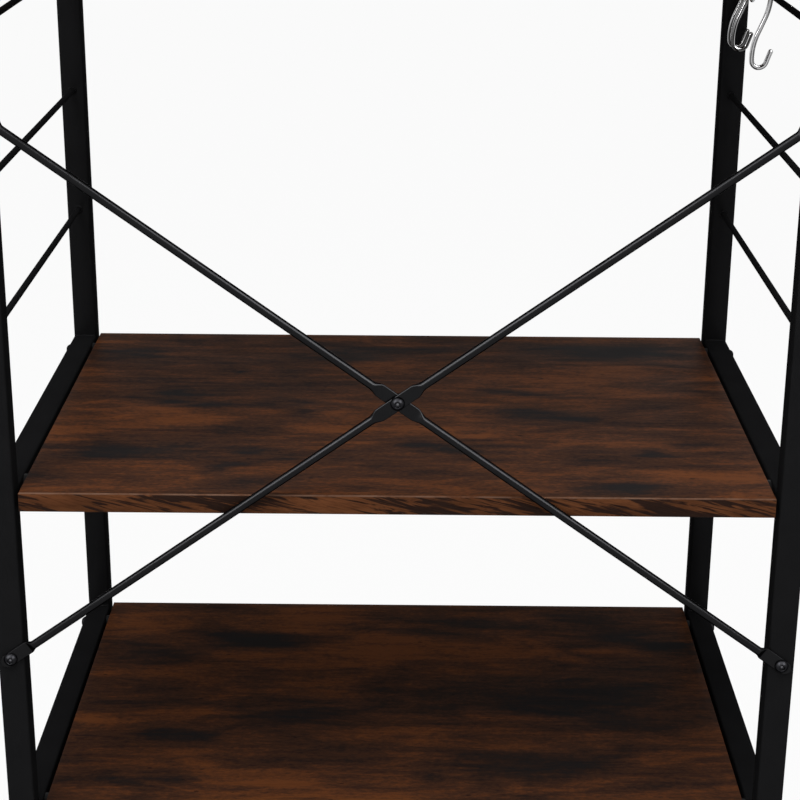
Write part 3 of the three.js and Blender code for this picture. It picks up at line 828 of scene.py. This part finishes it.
class RACK_OT_stage(bpy.types.Operator):
    """Sets up the pale floor, the white room, the lamps and the camera"""

    bl_idname = "rack.stage"
    bl_label = "Floor, lamps and camera"

    def execute(self, context):
        studio = context.scene.rack_studio
        context.scene.view_settings.view_transform = "Standard"
        self.floor(studio)
        self.room(context.scene, studio)
        for name, setting, width, place, target in LAMPS:
            lamp = self.lamp(name, getattr(studio, setting), width, place, target)
            lamp.visible_diffuse = setting != "streak"
        self.camera(context.scene, studio)
        return {"FINISHED"}

    @staticmethod
    def seen_rays(maker):
        """1 for the rays that show a thing to the camera, in a reflection or through glass."""
        camera = maker.node("ShaderNodeLightPath", output="Is Camera Ray")
        glossy = camera.beside("Is Glossy Ray")
        return (camera + glossy + camera.beside("Is Transmission Ray")).clamped()

    def floor(self, studio):
        """A wide pale floor with a slightly uneven tone, which keeps the rack's shadow."""
        signs = ((-1, -1), (1, -1), (1, 1), (-1, 1))
        corners = [(x * FLOOR_HALF, y * FLOOR_HALF, 0) for x, y in signs]
        mesh = bpy.data.meshes.new("studio_floor")
        mesh.from_pydata(corners, [], [(0, 1, 2, 3)])
        finish = bpy.data.materials.new("pale_floor")
        maker = fresh_tree(finish)
        tint = (studio.floor_shade,) * 3
        pale = maker.shades(maker.noise(0.6, 2.0), tint, 1.0, FLOOR_UNEVENNESS)
        matt = maker.node("ShaderNodeBsdfDiffuse", {"Color": pale})
        white = maker.node("ShaderNodeEmission", {"Color": WHITE, "Strength": 1.0})
        factor = self.seen_rays(maker) * studio.floor_glow
        surface = maker.node("ShaderNodeMixShader", {0: factor, 1: matt, 2: white})
        maker.node("ShaderNodeOutputMaterial", {"Surface": surface})
        mesh.materials.append(finish)
        floor = bpy.data.objects.new("studio_floor", mesh)
        bpy.context.scene.collection.objects.link(floor)

    def room(self, scene, studio):
        """White where it is seen, and softer where it lights the rack."""
        world = bpy.data.worlds.new("white_room")
        maker = fresh_tree(world)
        seen = self.seen_rays(maker)
        level = seen + (1 - seen) * studio.sky
        light = maker.node("ShaderNodeBackground", {"Color": WHITE, "Strength": level})
        maker.node("ShaderNodeOutputWorld", {"Surface": light})
        scene.world = world

    @staticmethod
    def lamp(name, power, width, place, target):
        """A square soft lamp at a place, aimed at a target."""
        data = bpy.data.lights.new(name, "AREA")
        data.energy = power
        data.size = width
        lamp = bpy.data.objects.new(name, data)
        aim = Vector(target) - Vector(place)
        turn = aim.to_track_quat("-Z", "Y").to_matrix().to_4x4()
        lamp.matrix_world = Matrix.Translation(place) @ turn
        lamp.visible_camera = False
        bpy.context.scene.collection.objects.link(lamp)
        return lamp

    @staticmethod
    def camera(scene, studio):
        """The photograph's camera."""
        data = bpy.data.cameras.new("rack_camera")
        data.sensor_width = SENSOR_WIDTH
        data.lens = studio.camera_lens
        data.clip_end = FARTHEST_SEEN
        camera = bpy.data.objects.new("rack_camera", data)
        camera.matrix_world = (
            Matrix.Translation(studio.camera_place)
            @ Matrix.Rotation(studio.camera_heading, 4, "Z")
            @ Matrix.Rotation(QUARTER - studio.camera_pitch, 4, "X")
            @ Matrix.Rotation(studio.camera_roll, 4, "Z")
        )
        scene.collection.objects.link(camera)
        scene.camera = camera


# A plug: its flange's rows of inset from the tube's side, corner radius and level in millimetres,
# the flange's corner and height, the stem's length and corner, and the play of the stem in the
# tube and of a stud in the bore.
PLUG_FLANGE = [
    (0.3, 1.7, 0), (0, 2, 0.4), (0, 2, 1.9), (0.25, 1.9, 2.5), (0.9, 1.6, 2.9), (1.6, 1.5, 3),
]
PLUG_CORNER = 2 * MM
PLUG_HEIGHT = 3 * MM
PLUG_STEM = 18 * MM
PLUG_STEM_CORNER = 0.4 * MM
PLUG_PLAY = 0.3 * MM


class RACK_OT_posts(bpy.types.Operator):
    """Builds the four posts as square tube with rounded corners, and their end plugs"""

    bl_idname = "rack.posts"
    bl_label = "Posts and plugs"

    def execute(self, context):
        upper = []
        lower = []
        plug = Vector((0, 0, PLUG_HEIGHT))
        for end, side in CORNERS:
            node = f"post_{end}_{side}"
            low, high, middle = node_box(node)
            start, stop = low + plug, high - plug
            mesh = hollow_tube(f"post_tube_{end}_{side}", start, stop, upright=True)
            place_piece(mesh, [node], [powder_coat()])
            upper.append(((middle.x, middle.y, stop.z), (0, 0, 1)))
            lower.append(((middle.x, middle.y, start.z), (0, 0, -1)))
        half = (high.x - low.x) / 2
        for level, spots in (("upper", upper), ("lower", lower)):
            part = self.plug(half, bored=level == "lower")
            set_parts(f"tube_plugs_{level}", part, spots, "black_plastic", black_plastic())
        return {"FINISHED"}

    @staticmethod
    def plug(half, bored):
        """A square plug: a stem inside the tube, a rounded flange, and the lower one's bore."""
        stem = half - sizes().tube_wall - PLUG_PLAY
        levels = [(stem, PLUG_STEM_CORNER, -PLUG_STEM), (stem, PLUG_STEM_CORNER, 0)]
        levels += [(half - inset, corner, level) for inset, corner, level in metres(PLUG_FLANGE)]
        rings = []
        for reach, corner, level in levels:
            rings.append([(a, b, level) for a, b in rounded_square(reach, corner)])
        bore = sizes().stud_diameter / 2 + PLUG_PLAY
        outline = [(a, b, math.hypot(a, b)) for a, b in rounded_square(half, PLUG_CORNER)]
        for level in (PLUG_HEIGHT, -PLUG_STEM) if bored else ():
            rings.append([(a / size * bore, b / size * bore, level) for a, b, size in outline])
        return mesh_from("plug", *skin(rings, closed=bored))


# How far in from a rail's side faces the beads at its sides lie.
WELD_SUNK = 1.1 * MM


class RACK_OT_rails(bpy.types.Operator):
    """Builds the ten side rails and the welds that hold them to the posts"""

    bl_idname = "rack.rails"
    bl_label = "Rails and welds"

    def execute(self, context):
        paths = []
        for side, tier in product(SIDES, TIERS):
            node = f"rail_{side}_{tier}"
            low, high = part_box(node)
            mesh = hollow_tube(f"rail_tube_{side}_{tier}", low, high, upright=False)
            place_piece(mesh, [node], [powder_coat()])
            for y in (low.y, high.y):
                paths.extend(self.weld_paths(low, high, y, tier == TIERS[-1]))
        lay_welds("rail_welds", paths, sizes().weld_bead, seed=4)
        return {"FINISHED"}

    @staticmethod
    def weld_paths(low, high, y, is_top):
        """Lines along a rail end's four sides. The top rail's upper side is ground flush."""
        corner = sizes().tube_corner
        paths = []
        for x in (low.x + WELD_SUNK, high.x - WELD_SUNK):
            paths.append([(x, y, low.z + corner), (x, y, high.z - corner)])
        for z in (low.z,) if is_top else (low.z, high.z):
            paths.append([(low.x + corner, y, z), (high.x - corner, y, z)])
        return paths


# How far the weld beads' middles stand off a guard rod's skin, as a share of their radius, the
# steps of the ring that they follow, and the rods' sides.
ROD_WELD_STAND_OFF = 0.45
ROD_WELD_STEPS = 24
ROD_SIDES = 32


class RACK_OT_guard_rods(bpy.types.Operator):
    """Builds the guard rods on both sides and the small welds round their ends"""

    bl_idname = "rack.guard_rods"
    bl_label = "Guard rods"

    def execute(self, context):
        bead = sizes().rod_weld_bead
        reach = sizes().guard_rod / 2 + bead * ROD_WELD_STAND_OFF
        circle = turned([(reach, 0)], ROD_WELD_STEPS)[0]
        circle.append(circle[0])
        rods = []
        rings = []
        nodes = []
        posts = (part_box("post_front_left")[1].y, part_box("post_rear_left")[0].y)
        for side, number in product(SIDES, GUARD_RODS):
            node = f"guard_rod_{side}_{number}"
            low, high, middle = node_box(node)
            rods.append([(middle.x, y, middle.z) for y in (low.y, high.y)])
            nodes.append(node)
            for post in posts:
                rings.append([(middle.x + a, post, middle.z + b) for a, b, _ in circle])
        values = {"diameter": sizes().guard_rod, "sides": ROD_SIDES, "finish": powder_coat()}
        mesh = wire_rule().grow("guard_rod_set", paths_mesh("rod_paths", rods), **values)
        mesh.set_sharp_from_angle(angle=CREASE)
        place_piece(mesh, nodes)
        lay_welds("guard_rod_welds", rings, bead, seed=9)
        return {"FINISHED"}


# A button head's cylindrical rim, the radius of its flat crown, the width and height of its lower
# edge's and its socket mouth's chamfers, its shank's chamfer, the steps of its dome, and in
# millimetres the rows of reach and depth of the drilled hollow under the socket. Heads and the
# nut have so many sides.
HEAD_RIM = 0.35 * MM
HEAD_CROWN = 2.75 * MM
HEAD_EDGE = (0.15 * MM, 0.12 * MM)
SOCKET_MOUTH = (0.14 * MM, 0.16 * MM)
SHANK_CHAMFER = 0.5 * MM
DOME_STEPS = 8
DRILL_HOLLOW = [(1.1, 0.34), (0.6, 0.5)]
ROUND_SIDES = 48


def button_head(shank_length):
    """A button-head bolt along Z with its underside at 0 and its shank below."""
    radius = sizes().head_diameter / 2
    height = sizes().head_height
    shank = sizes().stud_diameter / 2
    flat = sizes().socket_width / 2
    bottom = height - sizes().socket_depth
    centre = (height**2 + HEAD_CROWN**2 - HEAD_RIM**2 - radius**2) / (2 * (height - HEAD_RIM))
    ball = math.hypot(height - centre, HEAD_CROWN)
    profile = [
        (shank - SHANK_CHAMFER, -shank_length),
        (shank, SHANK_CHAMFER - shank_length),
        (shank, 0.0),
        (radius - HEAD_EDGE[0], 0.0),
        (radius, HEAD_EDGE[1]),
        (radius, HEAD_RIM),
    ]
    for step in range(1, DOME_STEPS + 1):
        reach = radius + (HEAD_CROWN - radius) * step / DOME_STEPS
        profile.append((reach, centre + math.sqrt(ball**2 - reach**2)))
    profile += [
        (lambda turn: hexagon(flat, turn) + SOCKET_MOUTH[0], height),
        (lambda turn: hexagon(flat, turn), height - SOCKET_MOUTH[1]),
        (lambda turn: hexagon(flat, turn), bottom),
    ]
    profile += [(reach, bottom - depth) for reach, depth in metres(DRILL_HOLLOW)]
    mesh = mesh_from("button_head", *skin(turned(profile, ROUND_SIDES)))
    # The last ring, the middle of the socket's drilled hollow, is marked for the painted glint.
    plain = len(mesh.vertices) - ROUND_SIDES
    mark(mesh, "worn", "FLOAT", [0.0] * plain + [1.0] * ROUND_SIDES)
    return mesh


SHELF_SHANK = 32 * MM
BRACE_SHANK = 12 * MM
CROSSING_SHANK = 10 * MM


class RACK_OT_bolts(bpy.types.Operator):
    """Builds the twenty shelf bolts and the five brace bolts as button heads with sockets"""

    bl_idname = "rack.bolts"
    bl_label = "Button-head bolts"

    def execute(self, context):
        rows = product(TIERS, ENDS, SIDES)
        shelf = [f"shelf_bolt_{tier}_{end}_{side}" for tier, end, side in rows]
        rows = product(("lower", "upper"), SIDES)
        ends = [f"brace_end_bolt_{level}_{side}" for level, side in rows]
        centre = ["brace_centre_bolt"]
        self.build("shelf_bolt_heads", shelf, self.side_spot, SHELF_SHANK, seed=3)
        self.build("brace_bolt_heads", ends, self.back_spot, BRACE_SHANK, seed=8)
        self.build("brace_crossing_bolt", centre, self.back_spot, CROSSING_SHANK, seed=5)
        return {"FINISHED"}

    @staticmethod
    def side_spot(node):
        """Where a shelf bolt's head sits on a rail's outer face, and the way it points."""
        low, high, middle = node_box(node)
        sign = SIDES[node.split("_")[-1]]
        outer = high.x if sign > 0 else low.x
        return (outer - sign * sizes().head_height, middle.y, middle.z), (sign, 0, 0)

    @staticmethod
    def back_spot(node):
        """Where a brace bolt's head sits at the back, and the way it points."""
        _, high, middle = node_box(node)
        return (middle.x, high.y - sizes().head_height, middle.z), (0, 1, 0)

    @staticmethod
    def build(name, nodes, spot, shank_length, seed):
        """One piece of like bolts, each turned by chance."""
        spots = [spot(node) for node in nodes]
        part = button_head(shank_length)
        set_parts(name, part, spots, "black_bolt", black_oxide(), nodes, WEDGE, seed)


# Steps along each change of a brace rod's section and points round it. A tip's section stays at
# least as wide as a share of its thickness. The nut's corners are cut to a share of its width at
# its faces and grow by a slope over rows of height in millimetres. Its bore is smaller than the
# stud by the thread, and has a countersink.
BRACE_STEPS = 8
BRACE_SIDES = 32
LEAST_TIP = 0.35
BRACE_CREASE = math.radians(40)
NUT_CHAMFER_ROWS = (0.0, 0.315, 0.63, 0.9)
NUT_CHAMFER_START = 0.97
NUT_CHAMFER_SLOPE = 1.73
NUT_THREAD = 0.1 * MM
NUT_COUNTERSINK = 0.4 * MM
NUT_COUNTERSINK_DEPTH = 0.5 * MM


class RACK_OT_brace(bpy.types.Operator):
    """Builds the two brace rods, pressed flat at their ends and middle, and the nut"""

    bl_idname = "rack.brace"
    bl_label = "Brace rods and nut"

    def execute(self, context):
        lower = box_middle("brace_end_bolt_lower_right")
        upper = box_middle("brace_end_bolt_upper_right")
        self.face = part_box("post_rear_left")[1].y
        self.centre_height = (lower.z + upper.z) / 2
        rise = upper.z - lower.z
        width = 2 * lower.x
        self.span = math.hypot(width, rise)
        self.lean = (width / self.span, rise / self.span)
        for name, lean, layer in [("inner", 1, 0), ("outer", -1, 1)]:
            points, faces = skin(self.rings(lean, layer))
            mesh = mesh_from(f"brace_rod_{name}_pressed", points, faces, BRACE_CREASE)
            place_piece(mesh, [f"brace_rod_{name}"], [rod_coat()])
        place_piece(self.nut(), ["brace_centre_nut"], [black_oxide()])
        return {"FINISHED"}

    def stations(self, centre_offset):
        """Places from the rod's middle to a tip: distance, flatness, flat's offset, width share."""
        made = sizes()
        paddle_offset = made.flat_thickness / 2
        bolt = self.span / 2
        start = bolt - made.paddle_inner
        tip = bolt + made.paddle_outer
        end_radius = made.flat_width / 2
        parts = [step / BRACE_STEPS for step in range(BRACE_STEPS + 1)]

        def smooth(part):
            return part * part * (3 - 2 * part)

        stations = []
        for part in parts:
            along = made.centre_flat / 2 + part * made.centre_taper
            stations.append((along, 1 - smooth(part), centre_offset, 1.0))
        for part in parts:
            along = start - (1 - part) * made.paddle_taper
            stations.append((along, smooth(part), paddle_offset, 1.0))
        for part in parts:
            along = tip - end_radius * (1 - math.sin(QUARTER * part))
            stations.append((along, 1.0, paddle_offset, math.cos(QUARTER * part)))
        return stations

    def rings(self, lean, layer):
        """Sections of a brace rod from one tip to the other."""
        made = sizes()
        radius = made.brace_rod / 2
        forward = self.stations(radius + (layer - 0.5) * made.flat_thickness)
        backward = [(-along, flat, out, wide) for along, flat, out, wide in reversed(forward)]
        rings = []
        for along, flat, out, wide in backward + forward:
            thick = radius + (made.flat_thickness / 2 - radius) * flat
            full = radius + (made.flat_width / 2 - radius) * flat
            width = max(full * wide, thick * LEAST_TIP)
            core = max(width - thick, 0.0)
            middle = radius + (out - radius) * flat
            ring = []
            for step in range(BRACE_SIDES):
                turn = 2 * math.pi * (step + 0.5) / BRACE_SIDES
                side = math.copysign(core, math.cos(turn))
                across = side + min(thick, width) * math.cos(turn)
                depth = self.face + middle + thick * math.sin(turn)
                x = along * lean * self.lean[0] + across * self.lean[1]
                z = along * self.lean[1] - across * lean * self.lean[0]
                ring.append((x, depth, self.centre_height + z))
            rings.append(ring)
        return rings

    @staticmethod
    def nut():
        """A hexagon nut with chamfered corners, behind the crossing."""
        low, high, middle = node_box("brace_centre_nut")
        flat = sizes().nut_width / 2
        bore = sizes().stud_diameter / 2 - NUT_THREAD
        height = high.y - low.y
        rows = [row * MM for row in NUT_CHAMFER_ROWS]
        profile = []

        def outline(turn, limit):
            return min(hexagon(flat, turn + WEDGE / 2), limit)

        for level in rows + [height - row for row in reversed(rows)]:
            limit = flat * NUT_CHAMFER_START + min(level, height - level) * NUT_CHAMFER_SLOPE
            profile.append((functools.partial(outline, limit=limit), level))
        profile += [
            (bore + NUT_COUNTERSINK, height),
            (bore, height - NUT_COUNTERSINK_DEPTH),
            (bore, NUT_COUNTERSINK_DEPTH),
            (bore + NUT_COUNTERSINK, 0.0),
        ]
        points, faces = skin(turned(profile, ROUND_SIDES), closed=True)
        points = [(middle.x + y, low.y + z, middle.z + x) for x, y, z in points]
        return mesh_from("brace_crossing_nut", points, faces)


# Smoky patches of the two boards that are seen whole, by tier: middle, half length and half width
# in millimetres from the rack's middle. The other boards get so many at random, within the limits.
SEEN_PATCHES = {
    4: [
        (224, -136, 38, 15), (165, -83, 12, 8), (35, -130, 40, 22), (208, -32, 34, 16),
        (148, -1, 36, 12), (89, -14, 28, 8), (36, 16, 26, 15), (188, 104, 44, 15),
        (93, 110, 22, 8), (117, 142, 22, 18), (-184, -150, 84, 26), (-114, -27, 34, 12),
        (-99, 20, 34, 18), (-13, 90, 16, 13), (-198, 112, 28, 9), (-241, 83, 16, 14),
        (-168, 174, 50, 11),
    ],
    3: [
        (119, -114, 55, 16), (-54, -149, 60, 22), (57, 26, 95, 22), (-144, -4, 95, 52),
        (-120, 105, 80, 26), (215, 136, 32, 10), (200, 63, 26, 16), (-227, -121, 48, 22),
    ],
}
PATCH_COUNT = 13
PATCH_LIMITS = ((-260, 260), (-185, 185), (18, 60), (7, 20))

# How far a patch's edge wanders along X and across it in millimetres, how steeply a patch fades,
# and how many of its half lengths away it ends.
PATCH_WANDER = (55, 13)
PATCH_FADE = 1.2
PATCH_END = 2

# The noises that move a patch's edge along X and across it: cells to the metre in both directions
# and the layer taken. Then the roughness, the scale from octave to octave and the octaves.
ALONG_NOISE = (9, 48, 7.5)
ACROSS_NOISE = (11, 40, 0.5)
PATCH_NOISE = (0.8, 2.1, 3)


def patches_of(tier):
    """The smoky patches of one board."""
    if tier in SEEN_PATCHES:
        return SEEN_PATCHES[tier]
    chance = random.Random(tier)
    return [tuple(chance.uniform(*limits) for limits in PATCH_LIMITS) for _ in range(PATCH_COUNT)]


def wander(x, y, cells_x, cells_y, layer):
    """Noise about 0 at a place on a board."""
    return noise.fractal(Vector((x * cells_x, y * cells_y, layer)), *PATCH_NOISE)


def smoke_at(x, y, patches):
    """How smoky a board is at a place, from 0 to 1, with the patches' edges drawn along X."""
    drift = PATCH_WANDER[0] * wander(x, y, *ALONG_NOISE)
    swell = PATCH_WANDER[1] * wander(x, y, *ACROSS_NOISE)
    clear = 1.0
    for along, across, half_length, half_width in patches:
        aside = (x / MM - along + drift) / half_length
        over = (y / MM - across + swell) / half_width
        reach = math.hypot(aside, over)
        if reach < PATCH_END:
            clear *= 1 - math.exp(-PATCH_FADE * reach**2)
    return 1 - clear


# A board's materials in their order, and the steps of its rounded edges. Then how far the
# inserts' flanges stand proud of the board's ends, and a flange's profile in millimetres of radius
# and height.
FACE, BAND, ARRIS = 0, 1, 2
ARRIS_STEPS = 3
INSERT_FLANGE = 3 * MM
INSERT_PROFILE = [
    (5.9, -0.5), (6.5, 0.1), (6.5, 2.6), (6.2, 2.95), (3.2, 2.95), (3.0, 2.7), (3.0, -0.5),
]
INSERT_SIDES = 32


def grid_border(columns, rows):
    """The corners of a grid's cells along its border, in order all the way round."""
    border = [(column, 0) for column in range(columns)]
    border += [(columns, row) for row in range(rows)]
    border += [(column, rows) for column in range(columns, 0, -1)]
    return border + [(0, row) for row in range(rows, 0, -1)]


def rim_levels(low, high, arris):
    """How far out a board's rounded rim is, and at what height, from the top down."""
    arcs = []
    for step in range(1, ARRIS_STEPS + 1):
        turn = QUARTER * step / ARRIS_STEPS
        arcs.append((arris * math.sin(turn), arris * (1 - math.cos(turn))))
    upper = [(reach, high - drop) for reach, drop in arcs]
    return upper + [(reach, low + drop) for reach, drop in reversed(arcs)]


class RACK_OT_boards(bpy.types.Operator):
    """Builds the five boards with their faces, edge bands and arrises, and the inserts' flanges"""

    bl_idname = "rack.boards"
    bl_label = "Shelf boards"

    def execute(self, context):
        spots = []
        gap = Vector((INSERT_FLANGE, 0, 0))
        for tier in TIERS:
            node = f"shelf_board_{tier}"
            low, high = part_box(node)
            low, high = low + gap, high - gap
            mesh = self.board(f"melamine_board_{tier}", low, high, patches_of(tier))
            materials = [board_face(), edge_band(), board_arris()]
            place_piece(mesh, [node], materials)
            for end, side in CORNERS:
                bolt = box_middle(f"shelf_bolt_{tier}_{end}_{side}")
                edge = high.x if SIDES[side] > 0 else low.x
                spots.append(((edge, bolt.y, bolt.z), (SIDES[side], 0, 0)))
        rings = turned(metres(INSERT_PROFILE), INSERT_SIDES)
        part = mesh_from("insert", *skin(rings, closed=True))
        values = {"largest_turn": 3.0, "seed": 2}
        set_parts("insert_flanges", part, spots, "black_bolt", dark_zinc(), **values)
        return {"FINISHED"}

    @staticmethod
    def board(name, low, high, patches):
        """A board whose faces are fine grids that carry the smoke attribute."""
        arris = sizes().board_arris
        cell = sizes().board_cell
        inner_low = low + Vector((arris, arris, 0))
        inner_size = high - low - Vector((2 * arris, 2 * arris, 0))
        columns = max(2, round(inner_size.x / cell))
        rows = max(2, round(inner_size.y / cell))
        points = []
        faces = []
        kinds = []

        def number(column, row, start):
            return start + row * (columns + 1) + column

        def place(column, row):
            across = inner_low.x + inner_size.x * column / columns
            return across, inner_low.y + inner_size.y * row / rows

        for level, order in ((high.z, 1), (low.z, -1)):
            start = len(points)
            for row in range(rows + 1):
                points.extend((*place(column, row), level) for column in range(columns + 1))
            for row, column in product(range(rows), range(columns)):
                near = [number(column, row, start), number(column + 1, row, start)]
                far = [number(column + 1, row + 1, start), number(column, row + 1, start)]
                faces.append((near + far)[::order])
                kinds.append(FACE)
        border = grid_border(columns, rows)
        rings = [[number(column, row, 0) for column, row in border]]
        for reach, level in rim_levels(low.z, high.z, arris):
            rings.append(list(range(len(points), len(points) + len(border))))
            for column, row in border:
                x, y = place(column, row)
                x += reach * ((column == columns) - (column == 0))
                y += reach * ((row == rows) - (row == 0))
                points.append((x, y, level))
        lower_start = (columns + 1) * (rows + 1)
        rings.append([number(column, row, lower_start) for column, row in border])
        for ring, (upper, under) in enumerate(zip(rings, rings[1:])):
            for step in range(len(border)):
                following = (step + 1) % len(border)
                faces.append((upper[following], upper[step], under[step], under[following]))
                # Only the upper rounded edges of the long sides take the arris line, a painted
                # highlight.
                is_end = (border[step][0], border[following][0]) in ((0, 0), (columns, columns))
                kinds.append(BAND if ring >= ARRIS_STEPS else FACE if is_end else ARRIS)
        mesh = mesh_from(name, points, faces)
        mesh.polygons.foreach_set("material_index", kinds)
        mark(mesh, "smoke", "FLOAT", [smoke_at(x, y, patches) for x, y, _ in points])
        return mesh


# A levelling foot: the pad's and collar's profile and the ribs' ring in millimetres of radius and
# height, the thread's depth, how far the thread keeps from the collar and from the stud's end, and
# the width and height of the stud's chamfer.
FOOT_PROFILE = [
    (6.4, 0.5), (7.0, 0.0), (8.5, 0.0), (9.0, 0.5), (9.1, 1.0), (9.1, 5.4), (8.8, 6.1),
    (8.0, 6.7), (5.6, 7.0), (5.5, 7.7), (5.1, 8.0),
]
FOOT_SIDES = 40
COLLAR_TOP = 8 * MM
RIB_RING = (9.05, 3.1)
RIB_LENGTH = 4.4 * MM
THREAD_DEPTH = 0.4 * MM
THREAD_GAPS = (0.4 * MM, 1.2 * MM)
STUD_CHAMFER = (0.7 * MM, 0.8 * MM)


class RACK_OT_feet(bpy.types.Operator):
    """Builds the four levelling feet with ribbed pads and threaded studs"""

    bl_idname = "rack.feet"
    bl_label = "Levelling feet"

    def execute(self, context):
        rule = foot_rule()
        made = sizes()
        core = made.stud_diameter / 2 - THREAD_DEPTH
        for end, side in CORNERS:
            node = f"levelling_foot_{end}_{side}"
            _, high, middle = node_box(node)
            mesh = rule.grow(
                node + "_moulded",
                self.body(node + "_body", middle, core, high.z),
                thread_radius=core,
                thread_pitch=made.thread_pitch,
                thread_length=high.z - COLLAR_TOP - sum(THREAD_GAPS),
                thread_start=(middle.x, middle.y, COLLAR_TOP + THREAD_GAPS[0]),
                rib_length=RIB_LENGTH,
                finish=black_plastic(),
            )
            mesh.set_sharp_from_angle(angle=CREASE)
            place_piece(mesh, [node], body=f"foot_{end}_{side}")
        return {"FINISHED"}

    @staticmethod
    def body(name, middle, core, top):
        """The pad, its collar and the stud's core, and a ring of places for the grip ribs."""
        inset, drop = STUD_CHAMFER
        levels = metres(FOOT_PROFILE)
        levels += [(core, COLLAR_TOP), (core, top - drop), (core - inset, top)]
        points, faces = skin(turned(levels, FOOT_SIDES))
        count = len(points)
        points += turned(metres([RIB_RING]), sizes().foot_ribs)[0]
        points = [(middle.x + x, middle.y + y, z) for x, y, z in points]
        mesh = mesh_from(name, points, faces)
        mark(mesh, "rib", "BOOLEAN", [index >= count for index in range(len(points))])
        return mesh


# Where the wire's ends have points to round them off, as shares of its radius, the steps along the
# rest of it, its sides, and the gap between the curl and the guard rod that it hangs on.
WIRE_ENDS = (0.002, 0.05, 0.15, 0.3, 0.5, 0.75, 1.0)
WIRE_STEPS = 150
WIRE_SIDES = 24
HOOK_GAP = 0.3 * MM


def along_runs(runs, heading, distance):
    """Where a wire of straight and bent runs has come to after a distance from its start."""
    x = z = 0.0
    for run, turn in runs:
        part = min(distance, run)
        bent = turn * part / run
        chord = part if bent == 0 else 2 * part * math.sin(bent / 2) / bent
        x += chord * math.cos(heading + bent / 2)
        z += chord * math.sin(heading + bent / 2)
        heading += bent
        distance -= part
        if distance <= 0:
            break
    return x, z


class RACK_OT_hooks(bpy.types.Operator):
    """Builds the wire hooks that hang on a guard rod"""

    bl_idname = "rack.hooks"
    bl_label = "Wire hooks"

    def execute(self, context):
        rule = wire_rule()
        rod = box_middle("guard_rod_left_3")
        bent, girths = self.wire()
        for number in HOOKS:
            node = f"hook_{number}"
            along = box_middle(node).y
            path = [(rod.x + x, along, rod.z + z) for x, z in bent]
            places = paths_mesh(node + "_path", [path], [girths])
            mesh = rule.grow(
                f"wire_hook_{number}",
                places,
                diameter=sizes().wire_diameter,
                sides=WIRE_SIDES,
                finish=chrome_plate(),
            )
            place_piece(mesh, [node], body=f"hanging_hook_{number}")
        return {"FINISHED"}

    @staticmethod
    def wire():
        """The bent wire round the rod's axis, and its girth, which rounds the ends."""
        made = sizes()
        lean = made.hook_lean
        curl_turn = math.radians(180) - made.hook_tip_lean
        curl = (made.hook_curl * curl_turn, curl_turn)
        bend = (made.hook_bend * lean, lean)
        tip = (made.hook_tip, 0.0)
        shank = (made.hook_shank, 0.0)
        runs = [tip, curl, bend, shank, (bend[0], -lean), (curl[0], -curl_turn), tip]
        total = sum(run for run, _ in runs)
        half = made.hook_shank / 2
        side = half * math.sin(lean) + made.hook_bend * (1 - math.cos(lean)) - made.hook_curl
        rise = half * math.cos(lean) + made.hook_bend * math.sin(lean)
        heading = made.hook_tip_lean - QUARTER - math.atan2(side, rise)
        radius = made.wire_diameter / 2
        near_end = [radius * part for part in WIRE_ENDS]
        plain = total - 2 * radius
        places = near_end + [radius + plain * step / WIRE_STEPS for step in range(1, WIRE_STEPS)]
        places += [total - distance for distance in reversed(near_end)]
        middle = along_runs(runs, heading, total / 2)
        seat = made.hook_curl - radius - made.guard_rod / 2 - HOOK_GAP
        drop = math.hypot(side, rise) + seat
        path = []
        girths = []
        for distance in places:
            x, z = along_runs(runs, heading, distance)
            path.append((x - middle[0], z - middle[1] - drop))
            inside = min(distance, total - distance, radius)
            girths.append(math.sqrt(1 - ((radius - inside) / radius) ** 2))
        return path, girths


OPERATORS = (
    RACK_OT_stage,
    RACK_OT_posts,
    RACK_OT_rails,
    RACK_OT_guard_rods,
    RACK_OT_bolts,
    RACK_OT_brace,
    RACK_OT_boards,
    RACK_OT_feet,
    RACK_OT_hooks,
)
SETTINGS = {"rack_sizes": RackSizes, "rack_finish": RackFinish, "rack_studio": RackStudio}


class RACK_PT_panel(bpy.types.Panel):
    """Lists the rack's pieces and its settings in the sidebar"""

    bl_idname = "RACK_PT_panel"
    bl_label = "Bakers rack"
    bl_space_type = "VIEW_3D"
    bl_region_type = "UI"
    bl_category = "Bakers rack"

    def draw(self, context):
        for operator in OPERATORS:
            self.layout.operator(operator.bl_idname)
        for setting in SETTINGS:
            group = getattr(context.scene, setting)
            box = self.layout.box()
            for name in group.__annotations__:
                box.prop(group, name)


CLASSES = (*SETTINGS.values(), *OPERATORS, RACK_PT_panel)


def register():
    """Registers the classes and hangs the settings on the scene."""
    for each in CLASSES:
        bpy.utils.register_class(each)
    for name, group in SETTINGS.items():
        setattr(bpy.types.Scene, name, PointerProperty(type=group))


def unregister():
    """Takes the settings and the classes away again."""
    for name in SETTINGS:
        delattr(bpy.types.Scene, name)
    for each in reversed(CLASSES):
        bpy.utils.unregister_class(each)


def main():
    """Registers the add-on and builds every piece."""
    register()
    bpy.ops.rack.stage()
    bpy.ops.rack.posts()
    bpy.ops.rack.rails()
    bpy.ops.rack.guard_rods()
    bpy.ops.rack.bolts()
    bpy.ops.rack.brace()
    bpy.ops.rack.boards()
    bpy.ops.rack.feet()
    bpy.ops.rack.hooks()


if __name__ == "__main__":
    main()
